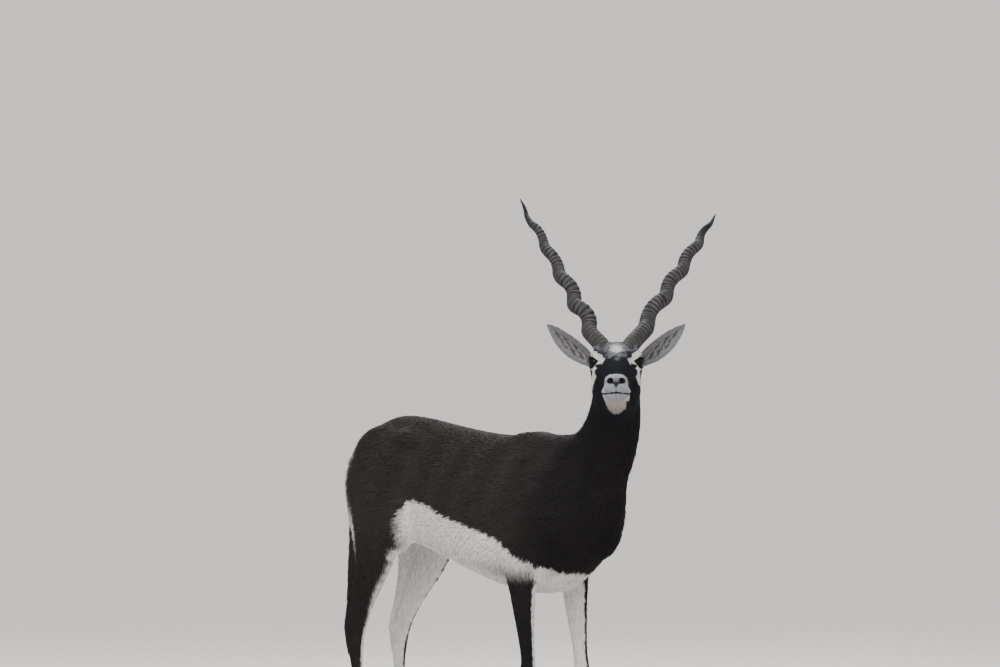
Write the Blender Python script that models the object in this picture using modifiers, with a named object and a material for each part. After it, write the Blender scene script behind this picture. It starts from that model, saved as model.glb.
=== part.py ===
"""Blackbuck: an adult male standing on all four feet, its head raised and turned to its right.

It faces -Y, its left is +X, and its soles lie on z = 0, under the middle of its bounding box.
The flesh is one blended form, settled onto a remeshed body and then parted with thin cuts.
"""
import math

import bmesh
import bpy
import numpy as np
from mathutils import Euler, Matrix, Vector

# Driving sizes, in metres and degrees.
HEAD_YAW = -40
HEAD_PITCH = 11
EYES_MIDDLE = np.array((-0.062, -0.545, 0.952))
EYE_RADIUS = 0.0145
EYE_TURN = 57
LID_LENGTH = 0.0134
LID_HEIGHT = 0.0092
LID_THICKNESS = 0.0022
CORONET = 0.034
CORONET_SLOPE = 0.35
CLEFT = 0.0022
CLAW_WALL = 0.0006
GAP = 0.0003
# The head's own axes are forward, left and up from the middle between the eyes.
EYE_PLACE = np.array((0.004, 0.0438, 0.0))
NAPE_CUT = np.array((-0.078, 0, -0.035))
NAPE_NORMAL = np.array((0.891, 0, 0.454))
CHEST_CUT = np.array((0, -0.400, 0.700))
CHEST_NORMAL = (0, -0.857, 0.514)
LEG_WALL = 0.030
# Horns: the share of the length comes first in each row.
HORN_LENGTH = 0.512
HORN_BASE = np.array((-0.024, 0.0304, 0.043))
HORN_LEAN = {"left": 46.2, "right": 51.1}
HORN_SPREAD = {"left": 21.1, "right": 20.2}
HORN_BULGES = {
    "left": [(0, -0.27), (0.13, 0), (0.37, 1), (0.57, 2), (0.765, 3), (0.932, 4), (1, 4.3)],
    "right": [(0, -0.27), (0.105, 0), (0.285, 1), (0.475, 2), (0.662, 3), (0.832, 4), (1, 4.4)],
}
HORN_SWING = {
    "left": [(0, 0.0042), (0.12, 0.0056), (0.35, 0.0055), (0.55, 0.0042), (0.75, 0.0036), (0.9, 0.0028), (1, 0)],
    "right": [(0, 0.0055), (0.12, 0.0068), (0.35, 0.006), (0.55, 0.0036), (0.75, 0.0028), (0.9, 0.0062), (1, 0)],
}
HORN_SHARES = (0, 0.1, 0.3, 0.5, 0.66, 0.8, 0.88, 0.95, 1)
HORN_RADII = {
    "left": (0.0176, 0.0171, 0.0154, 0.0142, 0.0125, 0.0097, 0.0070, 0.0038, 0.0009),
    "right": (0.0170, 0.0163, 0.0152, 0.0133, 0.0109, 0.0081, 0.0060, 0.0035, 0.0009),
}
HORN_RINGS = 48
RING_START = -0.036
RINGED = 0.872
RING_RELIEF = 0.0011
RING_SPACING = 0.95
HORN_SIDES = 9
# Ears: share of the length, half width, depth of the cup, thickness.
EAR_BASE = np.array((-0.056, 0.048, 0.011))
EAR_TIP = np.array((-0.107, 0.1455, 0.101))
EAR_FACING = np.array((1.0, -0.05, -0.10))
EAR_SECTIONS = [
    (0.0, 0.0100, 0.0040, 0.0140),
    (0.12, 0.0142, 0.0095, 0.0080),
    (0.28, 0.0184, 0.0120, 0.0045),
    (0.46, 0.0204, 0.0110, 0.0038),
    (0.64, 0.0187, 0.0086, 0.0034),
    (0.80, 0.0140, 0.0050, 0.0030),
    (0.92, 0.0078, 0.0022, 0.0026),
    (1.0, 0.0022, 0.0004, 0.0020),
]
EAR_SAG = 0.0035
EAR_BOW = 0.012
EAR_POINTS = 8
EAR_RIM = 0.0009
# Tail: back, height, half width, half thickness.
TAIL = [
    (0.335, 0.752, 0.0150, 0.0130),
    (0.364, 0.745, 0.0200, 0.0145),
    (0.385, 0.715, 0.0215, 0.0135),
    (0.393, 0.668, 0.0205, 0.0120),
    (0.394, 0.618, 0.0165, 0.0100),
    (0.391, 0.582, 0.0060, 0.0045),
]
# Hoof: share of the height, width of a claw, how far its heel and its toe lie before the leg's middle.
HOOF_SECTIONS = [
    (0.0, 0.0140, -0.0130, 0.0390),
    (0.35, 0.0146, -0.0150, 0.0330),
    (0.7, 0.0142, -0.0150, 0.0240),
    (1.0, 0.0134, -0.0135, 0.0155),
]
HOOF_POINTS = 14
# Side view of the leg nodes: back, height.
FORE_OUTLINE = [
    (-0.405, -0.02),
    (-0.400, 0.30),
    (-0.390, 0.50),
    (-0.355, 0.600),
    (-0.285, 0.640),
    (-0.215, 0.600),
    (-0.185, 0.50),
    (-0.170, 0.30),
    (-0.165, -0.02),
]
HIND_OUTLINE = [
    (0.170, -0.02),
    (0.150, 0.30),
    (0.115, 0.500),
    (0.128, 0.620),
    (0.185, 0.715),
    (0.270, 0.745),
    (0.350, 0.715),
    (0.440, 0.630),
    (0.450, 0.30),
    (0.450, -0.02),
]
# The blending: a value for far away, how far a form reaches, when a vertex has settled, and a step for slopes.
FAR = 0.2
REACH = 0.05
SETTLED = 0.00002
PROBE = 0.0004
HEAD_VOXELS = (0.006, 0.003, 0.0018)
BODY_VOXELS = (0.008, 0.0055)
KEPT_WEIGHT = 0.0001
TRIANGLES = {"head": 3100, "body": 4900}
DARK_COAT = (0.030, 0.027, 0.028)
EYE_BROWN = (0.010, 0.006, 0.004)
HORN_GREY = (0.110, 0.095, 0.080)
EAR_GREY = (0.300, 0.280, 0.270)
HOOF_BLACK = (0.020, 0.018, 0.017)


def spline(rows, count):
    """A smooth row of values through the given rows, count steps to each span."""
    rows = np.asarray(rows, float)
    ends = np.vstack([2 * rows[0] - rows[1], rows, 2 * rows[-1] - rows[-2]])
    t = np.linspace(0, 1, count, endpoint=False)[:, None]
    spans = []
    for a, b, c, d in zip(ends, ends[1:], ends[2:], ends[3:]):
        bend = (2 * a - 5 * b + 4 * c - d) * t**2 + (-a + 3 * b - 3 * c + d) * t**3
        spans.append(0.5 * (2 * b + (c - a) * t + bend))
    return np.vstack([*spans, rows[-1:]])


def step(low, high, x):
    """0 below low, 1 above high, smooth between."""
    t = np.clip((x - low) / (high - low), 0, 1)
    return t * t * (3 - 2 * t)


def join(a, b, blend):
    """Union of two forms with a fillet about this wide."""
    h = np.clip(0.5 + 0.5 * (b - a) / blend, 0, 1)
    return b * (1 - h) + a * h - blend * h * (1 - h)


def carve(a, b, blend):
    """Form a with b taken out."""
    return -join(-a, b, blend)


def unit(v):
    v = np.asarray(v, float)
    return v / np.linalg.norm(v)


class Lump:
    """Ellipsoid form, squarer for a higher power. turn is in degrees about X, Y and Z."""

    def __init__(self, centre, size, turn=(0, 0, 0), power=2.0):
        self.centre = np.array(centre, float)
        self.size = np.array(size, float)
        self.axes = np.array(Euler([math.radians(t) for t in turn]).to_matrix())
        self.power = power

    def distance(self, points):
        d = np.full(len(points), FAR)
        near = np.linalg.norm(points - self.centre, axis=1) < self.size.max() + REACH
        q = (points[near] - self.centre) @ self.axes
        k = (np.abs(q / self.size) ** self.power).sum(1) ** (1 / self.power) + 1e-9
        d[near] = np.linalg.norm(q, axis=1) * (1 - 1 / k) - (k < 1e-6) * self.size.min()
        return d

    def add_to(self, bm, place):
        local = Matrix.Translation(self.centre) @ Matrix(self.axes.tolist()).to_4x4()
        matrix = place @ local @ Matrix.Diagonal((*self.size, 1))
        bmesh.ops.create_uvsphere(bm, u_segments=16, v_segments=10, radius=1, matrix=matrix)


class Tube:
    """Form along a line. A row is x, y, z, half width along side, half depth, and its own side if any."""

    def __init__(self, rows, side=(1, 0, 0), power=2.0, egg=0.0):
        rows = np.asarray(rows, float)
        self.rows = rows[:, :5]
        self.power = power
        self.egg = egg
        along = np.gradient(rows[:, :3], axis=0)
        self.along = along / np.linalg.norm(along, axis=1, keepdims=True)
        sides = rows[:, 5:8] if rows.shape[1] > 5 else np.tile(np.array(side, float), (len(rows), 1))
        sides = sides - (sides * self.along).sum(1, keepdims=True) * self.along
        self.sides = sides / np.linalg.norm(sides, axis=1, keepdims=True)
        self.ups = np.cross(self.sides, self.along)

    def distance(self, points):
        widest = self.rows[:, 3:5].max() + REACH
        low = self.rows[:, :3].min(0) - widest
        high = self.rows[:, :3].max(0) + widest
        near = ((points > low) & (points < high)).all(1)
        d = np.full(len(points), FAR)
        if near.any():
            d[near] = self.section_distance(points[near])
        return d

    def section_distance(self, p):
        best = np.full(len(p), np.inf)
        place = np.zeros(len(p))
        for n, (a, b) in enumerate(zip(self.rows, self.rows[1:])):
            line = b[:3] - a[:3]
            share = (p - a[:3]) @ line / (line @ line)
            t = np.clip(share, 0, 1)
            off = p - a[:3] - t[:, None] * line
            found = (off**2).sum(1)
            closer = found < best
            best[closer] = found[closer]
            place[closer] = n + t[closer]
        n = np.minimum(place.astype(int), len(self.rows) - 2)
        t = (place - n)[:, None]

        def between(values):
            return values[n] * (1 - t) + values[n + 1] * t

        row = between(self.rows)
        q = p - row[:, :3]
        half = row[:, 3:5]
        v = (q * between(self.ups)).sum(1) / half[:, 1]
        u = (q * between(self.sides)).sum(1) / (half[:, 0] * (1 - self.egg * np.clip(v, -1, 1)))
        past_start = np.where(place <= 0, -(q @ self.along[0]), 0)
        past_end = np.where(place >= len(self.rows) - 1, q @ self.along[-1], 0)
        w = np.maximum(np.maximum(past_start, past_end), 0) / half.min(1)
        k = (np.abs(np.stack([u, v, w], 1)) ** self.power).sum(1) ** (1 / self.power) + 1e-9
        return np.linalg.norm(q, axis=1) * (1 - 1 / k) - (k < 1e-6) * half.min(1)

    def add_to(self, bm, place):
        rings = []
        for row, side, up in zip(self.rows, self.sides, self.ups):
            turns = [math.tau * k / 12 for k in range(12)]
            ring = [row[:3] + side * row[3] * math.cos(t) + up * row[4] * math.sin(t) for t in turns]
            rings.append([place @ Vector(at) for at in ring])
        loft(bm, rings)


class Loaf:
    """Form of upright sections along a straight axis. A row is its place, top, bottom and half width."""

    def __init__(self, rows, axis, across, power=2.0, egg=0.0):
        self.rows = spline(sorted(rows), 8)
        self.axis = axis
        self.across = across
        self.power = power
        self.egg = egg

    def distance(self, points):
        a = points[:, self.axis]
        place = np.clip(a, self.rows[0, 0], self.rows[-1, 0])
        top, bottom, half = (np.interp(place, self.rows[:, 0], self.rows[:, n]) for n in (1, 2, 3))
        deep = (top - bottom) / 2
        q = np.stack([a - place, points[:, self.across], points[:, 2] - (top + bottom) / 2], 1)
        v = q[:, 2] / deep
        u = q[:, 1] / (half * (1 - self.egg * np.clip(v, -1, 1)))
        w = q[:, 0] / np.minimum(half, deep)
        k = (np.abs(np.stack([u, v, w], 1)) ** self.power).sum(1) ** (1 / self.power) + 1e-9
        return np.linalg.norm(q, axis=1) * (1 - 1 / k) - (k < 1e-6) * half

    def add_to(self, bm, place):
        rings = []
        for a, top, bottom, half in self.rows:
            ring = []
            for k in range(16):
                turn = math.tau * k / 16
                at = Vector((0, 0, (top + bottom) / 2 + (top - bottom) / 2 * math.sin(turn)))
                at[self.axis] = a
                at[self.across] = half * math.cos(turn)
                ring.append(place @ at)
            rings.append(ring)
        loft(bm, rings)


class Group:
    """Forms blended in order in axes of their own. A negative blend carves, and mirror is the axis across."""

    def __init__(self, steps, origin=(0, 0, 0), axes=np.eye(3), mirror=None, finish=None):
        self.steps = steps
        self.origin = np.array(origin, float)
        self.axes = axes
        self.mirror = mirror
        self.finish = finish
        bm = bmesh.new()
        self.add_to(bm)
        corners = np.array([v.co for v in bm.verts])
        bm.free()
        self.low = corners.min(0) - 2 * REACH
        self.high = corners.max(0) + 2 * REACH

    def distance(self, points):
        d = np.full(len(points), FAR)
        near = ((points > self.low) & (points < self.high)).all(1)
        if near.any():
            d[near] = self.blended(points[near])
        return d

    def blended(self, points):
        local = (points - self.origin) @ self.axes.T
        if self.mirror is not None:
            local[:, self.mirror] = np.abs(local[:, self.mirror])
        d = np.full(len(points), FAR)
        for form, blend in self.steps:
            other = form.distance(local)
            d = join(d, other, blend) if blend > 0 else carve(d, other, -blend)
        return d if self.finish is None else self.finish(d, local)

    def add_to(self, bm):
        place = Matrix.Translation(self.origin) @ Matrix(self.axes.T.tolist()).to_4x4()
        for form, blend in self.steps:
            if blend < 0:
                continue
            form.add_to(bm, place)
            if self.mirror is not None:
                flip = Matrix.Identity(4)
                flip[self.mirror][self.mirror] = -1
                form.add_to(bm, place @ flip)


def loft(bm, rings):
    """Skin over rings of equal count, closed at both ends."""
    rows = [[bm.verts.new(at) for at in ring] for ring in rings]
    for one, two in zip(rows, rows[1:]):
        for k in range(len(one)):
            bm.faces.new((one[k], one[k - 1], two[k - 1], two[k]))
    bm.faces.new(rows[0])
    bm.faces.new(rows[-1][::-1])


# The trunk from the rump forward: y, top, bottom, half width.
TRUNK = [
    (0.360, 0.740, 0.625, 0.042),
    (0.335, 0.774, 0.585, 0.068),
    (0.292, 0.804, 0.560, 0.086),
    (0.236, 0.818, 0.550, 0.092),
    (0.165, 0.815, 0.537, 0.088),
    (0.080, 0.804, 0.516, 0.093),
    (-0.012, 0.793, 0.490, 0.105),
    (-0.105, 0.787, 0.466, 0.110),
    (-0.187, 0.789, 0.452, 0.105),
    (-0.257, 0.791, 0.450, 0.092),
    (-0.315, 0.782, 0.466, 0.080),
    (-0.370, 0.758, 0.500, 0.066),
    (-0.412, 0.718, 0.545, 0.046),
]
# The left legs from the body down: x, y, z, half width, half depth.
FORELEG = [
    (0.072, -0.255, 0.560, 0.026, 0.050),
    (0.074, -0.243, 0.505, 0.027, 0.043),
    (0.072, -0.246, 0.455, 0.0235, 0.034),
    (0.070, -0.254, 0.385, 0.0175, 0.0240),
    (0.068, -0.262, 0.320, 0.0140, 0.0170),
    (0.068, -0.265, 0.280, 0.0165, 0.0190),
    (0.068, -0.264, 0.250, 0.0145, 0.0160),
    (0.068, -0.261, 0.220, 0.0105, 0.0120),
    (0.068, -0.259, 0.165, 0.0092, 0.0112),
    (0.068, -0.258, 0.115, 0.0098, 0.0122),
    (0.068, -0.260, 0.088, 0.0135, 0.0155),
    (0.068, -0.272, 0.058, 0.0115, 0.0120),
    (0.068, -0.281, 0.030, 0.0150, 0.0150),
]
HIND_LEG = [
    (0.058, 0.255, 0.700, 0.036, 0.085),
    (0.070, 0.247, 0.630, 0.042, 0.084),
    (0.078, 0.244, 0.565, 0.036, 0.074),
    (0.077, 0.262, 0.503, 0.027, 0.056),
    (0.073, 0.290, 0.447, 0.0195, 0.0385),
    (0.069, 0.318, 0.395, 0.0150, 0.0285),
    (0.068, 0.339, 0.352, 0.0158, 0.0255),
    (0.068, 0.345, 0.315, 0.0146, 0.0212),
    (0.068, 0.344, 0.270, 0.0112, 0.0150),
    (0.068, 0.338, 0.200, 0.0098, 0.0122),
    (0.068, 0.333, 0.130, 0.0102, 0.0128),
    (0.068, 0.331, 0.095, 0.0140, 0.0160),
    (0.068, 0.318, 0.060, 0.0118, 0.0125),
    (0.068, 0.309, 0.030, 0.0150, 0.0152),
]
HEEL_TENDON = [
    (0.068, 0.354, 0.305, 0.0070, 0.0110),
    (0.068, 0.368, 0.352, 0.0088, 0.0100),
    (0.069, 0.360, 0.395, 0.0060, 0.0090),
    (0.072, 0.342, 0.450, 0.0090, 0.0160),
    (0.070, 0.322, 0.515, 0.0170, 0.0300),
    (0.064, 0.300, 0.600, 0.0300, 0.0500),
    (0.060, 0.290, 0.660, 0.0340, 0.0600),
]
# Each foot's step forward (-) or back, in metres at the floor.
STANCE = {"front_left": -0.022, "front_right": 0.012, "hind_left": 0.012, "hind_right": -0.028}
LEG_TOP = 0.56
# The neck from the chest to the back of the head: share of the way, half width, half depth.
NECK_SECTIONS = [
    (0.0, 0.064, 0.108),
    (0.25, 0.063, 0.094),
    (0.5, 0.060, 0.077),
    (0.75, 0.054, 0.063),
    (1.0, 0.046, 0.053),
]
NECK_START = np.array((0.0, -0.295, 0.648))
NECK_BEND = np.array((0.012, -0.446, 0.742))
# The head in its own axes, which are forward, left and up from the middle between the eyes.
# From the back of the head to the nose: forward, top, bottom, half width.
SKULL = [
    (-0.088, 0.002, -0.045, 0.022),
    (-0.072, 0.024, -0.068, 0.037),
    (-0.048, 0.040, -0.088, 0.045),
    (-0.020, 0.048, -0.094, 0.045),
    (0.005, 0.044, -0.091, 0.041),
    (0.030, 0.029, -0.086, 0.036),
    (0.055, 0.011, -0.083, 0.031),
    (0.080, -0.008, -0.082, 0.0265),
    (0.103, -0.025, -0.086, 0.0240),
    (0.116, -0.035, -0.087, 0.0215),
    (0.125, -0.043, -0.083, 0.0160),
]


def head_axes():
    """Rows: the head's forward, left and up directions in the model's axes."""
    yaw = math.radians(HEAD_YAW)
    pitch = math.radians(HEAD_PITCH)
    level = np.array((math.sin(yaw), -math.cos(yaw), 0.0))
    forward = level * math.cos(pitch) + np.array((0, 0, math.sin(pitch)))
    up = -level * math.sin(pitch) + np.array((0, 0, math.cos(pitch)))
    return np.array([forward, np.cross(up, forward), up])


HEAD_AXES = head_axes()


def to_head(points):
    return (points - EYES_MIDDLE) @ HEAD_AXES.T


def from_head(local):
    return np.asarray(local) @ HEAD_AXES + EYES_MIDDLE


def eye_axes():
    """Rows: the left eye's outward gaze, its line from corner to corner, and up."""
    turn = math.radians(EYE_TURN)
    gaze = unit((math.cos(turn), math.sin(turn), 0.10))
    corner = unit(np.cross((0, 0, 1), gaze))
    tilt = math.radians(-8)
    corner = corner * math.cos(tilt) + np.cross(gaze, corner) * math.sin(tilt)
    return np.array([gaze, corner, np.cross(gaze, corner)])


EYE_AXES = eye_axes()


def lids(d, m):
    """The head's form with the opening of the lids cut to below the eyeball's surface, and a crease above."""
    q = (m - EYE_PLACE) @ EYE_AXES.T
    radius = np.linalg.norm(q, axis=1)
    k = EYE_RADIUS / np.maximum(radius, 1e-6)
    along, up = q[:, 1] * k, q[:, 2] * k
    outside = np.abs(up) - LID_HEIGHT * (1 - (along / LID_LENGTH) ** 2)
    outside = np.where(q[:, 0] < 0.2 * EYE_RADIUS, REACH, outside)
    crease = np.exp(-(((outside - 0.0044) / 0.0012) ** 2)) * step(0.001, 0.005, up)
    rim = np.exp(-(((outside - 0.0008) / 0.0010) ** 2))
    near = 1 - step(0.003, 0.006, np.abs(radius - EYE_RADIUS))
    d = d + near * (0.0009 * crease - 0.0006 * rim)
    opening = np.maximum(outside, EYE_RADIUS - 0.0030 - radius)
    return carve(d, opening, 0.0008)


def trunk_group():
    steps = [
        (Loaf(TRUNK, 1, 0, power=2.15, egg=0.14), 0.01),
        # Shoulder blade, point of the shoulder, upper arm, withers and breast.
        (Lump((0.053, -0.282, 0.646), (0.025, 0.054, 0.086), (-22, 6, 0)), 0.060),
        (Lump((0.070, -0.330, 0.592), (0.030, 0.048, 0.050), (20, 0, 0)), 0.040),
        (Lump((0.073, -0.256, 0.560), (0.030, 0.060, 0.062), (-25, 0, 0)), 0.035),
        (Lump((0.015, -0.208, 0.768), (0.016, 0.060, 0.022), (2, 0, 0)), 0.030),
        (Lump((0.000, -0.388, 0.622), (0.050, 0.054, 0.090), (-14, 0, 0)), 0.055),
        # Thigh, buttock, fold of the flank and hip bone.
        (Lump((0.058, 0.255, 0.680), (0.046, 0.098, 0.112), (12, 4, 0)), 0.040),
        (Lump((0.046, 0.326, 0.655), (0.036, 0.046, 0.088), (-8, 0, 0)), 0.035),
        (Lump((0.078, 0.188, 0.590), (0.030, 0.050, 0.070), (-20, 0, 0)), 0.035),
        (Lump((0.060, 0.160, 0.768), (0.016, 0.034, 0.014)), 0.035),
    ]
    return Group(steps, mirror=0)


def stance(name, z):
    """How far a leg stands forward or back at this height."""
    return STANCE[name] * (1 - step(0.0, LEG_TOP, z))


def leg_group(name):
    """One leg down to its hooves, with its knee pad or heel, its toes and its dewclaws."""
    side = 1 if name.endswith("left") else -1
    front = name.startswith("front")

    def placed(rows):
        return [(side * x, y + stance(name, z), z, half, deep) for x, y, z, half, deep in rows]

    steps = [(Tube(spline(placed(FORELEG if front else HIND_LEG), 3)), 0.01)]
    if front:
        knee_pad = (side * 0.068, -0.248 + stance(name, 0.268), 0.268)
        steps.append((Lump(knee_pad, (0.008, 0.010, 0.018)), 0.012))
    else:
        steps.append((Tube(spline(placed(HEEL_TENDON), 2)), 0.014))
    foot = (FORELEG if front else HIND_LEG)[-1]
    dewclaw_back = (FORELEG if front else HIND_LEG)[-3][1] + 0.0155
    for inner in (-1, 1):
        toe = (side * foot[0] + inner * 0.0082, foot[1] + stance(name, 0.034) + 0.001, 0.034)
        steps.append((Lump(toe, (0.0085, 0.0150, 0.0130), (-20, 0, 0)), 0.006))
        dewclaw = (side * foot[0] + inner * 0.0085, dewclaw_back + stance(name, 0.07), 0.072)
        steps.append((Lump(dewclaw, (0.0048, 0.0058, 0.0088), (30, 0, 0)), 0.005))
    return Group(steps)


def neck_group():
    """Sections from the chest to the back of the head, turning with the head."""
    end = from_head((-0.050, 0, -0.026))
    lead = end - 0.030 * HEAD_AXES[0] * np.array((1, 1, 0)) + np.array((0.004, 0, -0.09))
    rows = []
    for t, half, deep in spline(NECK_SECTIONS, 3):
        line = [NECK_START, NECK_BEND, lead, end]
        weight = [(1 - t) ** 3, 3 * t * (1 - t) ** 2, 3 * t * t * (1 - t), t**3]
        centre = sum(w * c for w, c in zip(weight, line))
        side = unit((1 - t) * np.array((1.0, 0, 0)) + t * HEAD_AXES[1])
        rows.append((*centre, half, deep, *side))
    return Group([(Tube(rows), 0.01)])


def head_group():
    mouth = [
        (0.1370, 0.0000, -0.0832, 0.0022, 0.0022),
        (0.1310, 0.0140, -0.0835, 0.0022, 0.0022),
        (0.1150, 0.0260, -0.0825, 0.0020, 0.0020),
        (0.0930, 0.0300, -0.0795, 0.0018, 0.0018),
        (0.0780, 0.0310, -0.0765, 0.0014, 0.0014),
    ]
    philtrum = [(0.1410, 0, -0.063, 0.0018, 0.0018), (0.1375, 0, -0.0820, 0.0020, 0.0020)]
    steps = [
        (Loaf(SKULL, 0, 1, power=2.3, egg=-0.04), 0.01),
        (Lump((-0.062, 0, -0.012), (0.034, 0.046, 0.042)), 0.020),
        # Orbit, brow, cheek, the bony edge under the eye and the jaw.
        (Lump(EYE_PLACE, (EYE_RADIUS + LID_THICKNESS,) * 3), 0.012),
        (Lump((0.004, 0.038, 0.016), (0.024, 0.012, 0.009), (0, 0, -18)), 0.014),
        (Lump((-0.018, 0.036, -0.052), (0.036, 0.0135, 0.036)), 0.018),
        (Lump((0.036, 0.033, -0.026), (0.034, 0.0085, 0.008), (0, 18, -14)), 0.014),
        (Lump((-0.022, 0.025, -0.080), (0.046, 0.014, 0.014), (0, -4, -8)), 0.018),
        # Seats of the horns and ears.
        (Lump((-0.022, 0.0300, 0.032), (0.020, 0.0190, 0.020), (0, -30, 0)), 0.014),
        (Lump((-0.052, 0.042, 0.014), (0.020, 0.017, 0.024)), 0.014),
        # Nostril wings, upper lip, chin and corner of the lips.
        (Lump((0.117, 0.0125, -0.0565), (0.020, 0.0100, 0.0120), (0, 12, 4)), 0.008),
        (Lump((0.115, 0.0110, -0.0735), (0.021, 0.0140, 0.0098)), 0.009),
        (Lump((0.100, 0, -0.0900), (0.026, 0.0185, 0.0105)), 0.014),
        (Lump((0.086, 0.0195, -0.0780), (0.030, 0.0080, 0.0090)), 0.014),
        # Nostril, the groove under the nose, the mouth and the gland before the eye.
        (Lump((0.138, 0.0138, -0.0572), (0.0090, 0.0074, 0.0054), (24, 0, 32)), -0.003),
        (Tube(philtrum, side=(0, 1, 0)), -0.003),
        (Tube(spline(mouth, 3), side=(0, 0, 1)), -0.003),
        (Lump((0.030, 0.0425, -0.004), (0.0085, 0.0040, 0.0017), (0, 12, -12)), -0.003),
    ]
    return Group(steps, EYES_MIDDLE, HEAD_AXES, mirror=1, finish=lids)


class Body:
    """The whole flesh: trunk, legs, neck and head with the fillet each one joins by."""

    def __init__(self):
        self.trunk = trunk_group()
        self.legs = [leg_group(name) for name in STANCE]
        self.neck = neck_group()
        self.head = head_group()

    def distance(self, points):
        d = self.trunk.distance(points)
        legs = np.min([leg.distance(points) for leg in self.legs], 0)
        d = join(d, legs, 0.022)
        d = join(d, self.neck.distance(points), 0.050)
        return join(d, self.head.distance(points), 0.022)

    def groups(self):
        return [self.trunk, *self.legs, self.neck, self.head]


def mesh_object(name, bm, collection):
    bmesh.ops.recalc_face_normals(bm, faces=bm.faces)
    mesh = bpy.data.meshes.new(name)
    bm.to_mesh(mesh)
    bm.free()
    obj = bpy.data.objects.new(name, mesh)
    collection.objects.link(obj)
    return obj


def apply_modifiers(obj):
    """Keep the object's mesh as its modifiers leave it."""
    evaluated = obj.evaluated_get(bpy.context.evaluated_depsgraph_get())
    mesh = bpy.data.meshes.new_from_object(evaluated)
    obj.modifiers.clear()
    obj.data = mesh


def remesh(obj, voxel):
    modifier = obj.modifiers.new("voxels", "REMESH")
    modifier.mode = "VOXEL"
    modifier.voxel_size = voxel
    apply_modifiers(obj)


def vertices(mesh):
    flat = np.empty(len(mesh.vertices) * 3)
    mesh.vertices.foreach_get("co", flat)
    return flat.reshape(-1, 3)


def settle(obj, form, rounds, reach):
    """Move each vertex down the form's slope until it lies on its surface."""
    points = vertices(obj.data)
    d = form.distance(points)
    for _ in range(rounds):
        loose = np.abs(d) > SETTLED
        p, left = points[loose], d[loose]
        slope = np.stack([form.distance(p + PROBE * axis) - left for axis in np.eye(3)], 1) / PROBE
        steep = np.maximum((slope**2).sum(1), 0.25)
        move = -slope * (left / steep)[:, None]
        length = np.linalg.norm(move, axis=1, keepdims=True)
        points[loose] = p + move * np.minimum(1, reach / np.maximum(length, 1e-9))
        d[loose] = form.distance(points[loose])
    obj.data.vertices.foreach_set("co", points.ravel())
    obj.data.update()


def settled(name, groups, form, voxels, collection):
    """The groups' solids fused, remeshed and laid onto the form at ever finer sizes."""
    bm = bmesh.new()
    for group in groups:
        group.add_to(bm)
    obj = mesh_object(name, bm, collection)
    for voxel in voxels:
        remesh(obj, voxel)
        settle(obj, form, 3, voxel)
    return obj


def round_ring(centre, side, up, half, deep, count):
    """Points of an ellipse across a line, counted from the side."""
    turns = [math.tau * k / count for k in range(count)]
    return [centre + side * half * math.cos(t) + up * deep * math.sin(t) for t in turns]


def read(table, place):
    """A value read between the rows of a table of place and value."""
    return float(np.interp(place, *zip(*table)))


def horn_line(side, share):
    """Centre of the horn and its radius, in the head's axes and as for the left horn."""
    lean = math.radians(HORN_LEAN[side])
    spread = math.radians(HORN_SPREAD[side])
    axis = np.array(
        (-math.cos(lean) * math.cos(spread), math.sin(spread), math.sin(lean) * math.cos(spread))
    )
    outward = unit(np.array((0, 1.0, 0)) - axis[1] * axis)
    back = np.cross(axis, outward)

    def swing(t):
        angle = math.tau * read(HORN_BULGES[side], t)
        return read(HORN_SWING[side], t) * (outward * math.cos(angle) + back * math.sin(angle))

    radius = float(np.interp(share, HORN_SHARES, HORN_RADII[side]))
    return HORN_BASE - swing(0.0) + axis * HORN_LENGTH * share + swing(share), radius


def horn_marks():
    """Share of the horn's length and height of relief, crest and hollow in turn."""
    crests = RING_START + (RINGED - RING_START) * (np.arange(HORN_RINGS + 1) / HORN_RINGS) ** RING_SPACING
    marks = [(-0.05, 0.0)]
    for crest, after in zip(crests, crests[1:]):
        relief = RING_RELIEF * float(step(-0.08, 0.04, crest) * (1 - step(0.72, 0.88, crest)))
        marks.append((crest, relief + 0.0003))
        marks.append(((crest + after) / 2, -relief))
    return marks + [(share, 0.0) for share in (0.90, 0.94, 0.97, 0.985, 1.0)]


def horn(side, collection):
    """A corkscrew horn with its rings, as a loft of crests and hollows that ends in a smooth point."""
    mirror = np.array((1, 1 if side == "left" else -1, 1))
    rings = []
    for share, relief in horn_marks():
        centre, radius = horn_line(side, share)
        along = unit(horn_line(side, share + 0.004)[0] - centre)
        out = unit(np.array((0, 1.0, 0)) - along[1] * along)
        radius += relief
        ring = round_ring(centre, out, np.cross(along, out), radius, radius * 1.06, HORN_SIDES)
        rings.append([from_head(at * mirror) for at in ring])
    bm = bmesh.new()
    loft(bm, rings)
    obj = mesh_object(f"horn_{side}", bm, collection)
    for edge in obj.data.edges:
        row, other = (vert // HORN_SIDES for vert in edge.vertices)
        edge.use_edge_sharp = row == other and row % 2 == 0
    return obj


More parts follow.
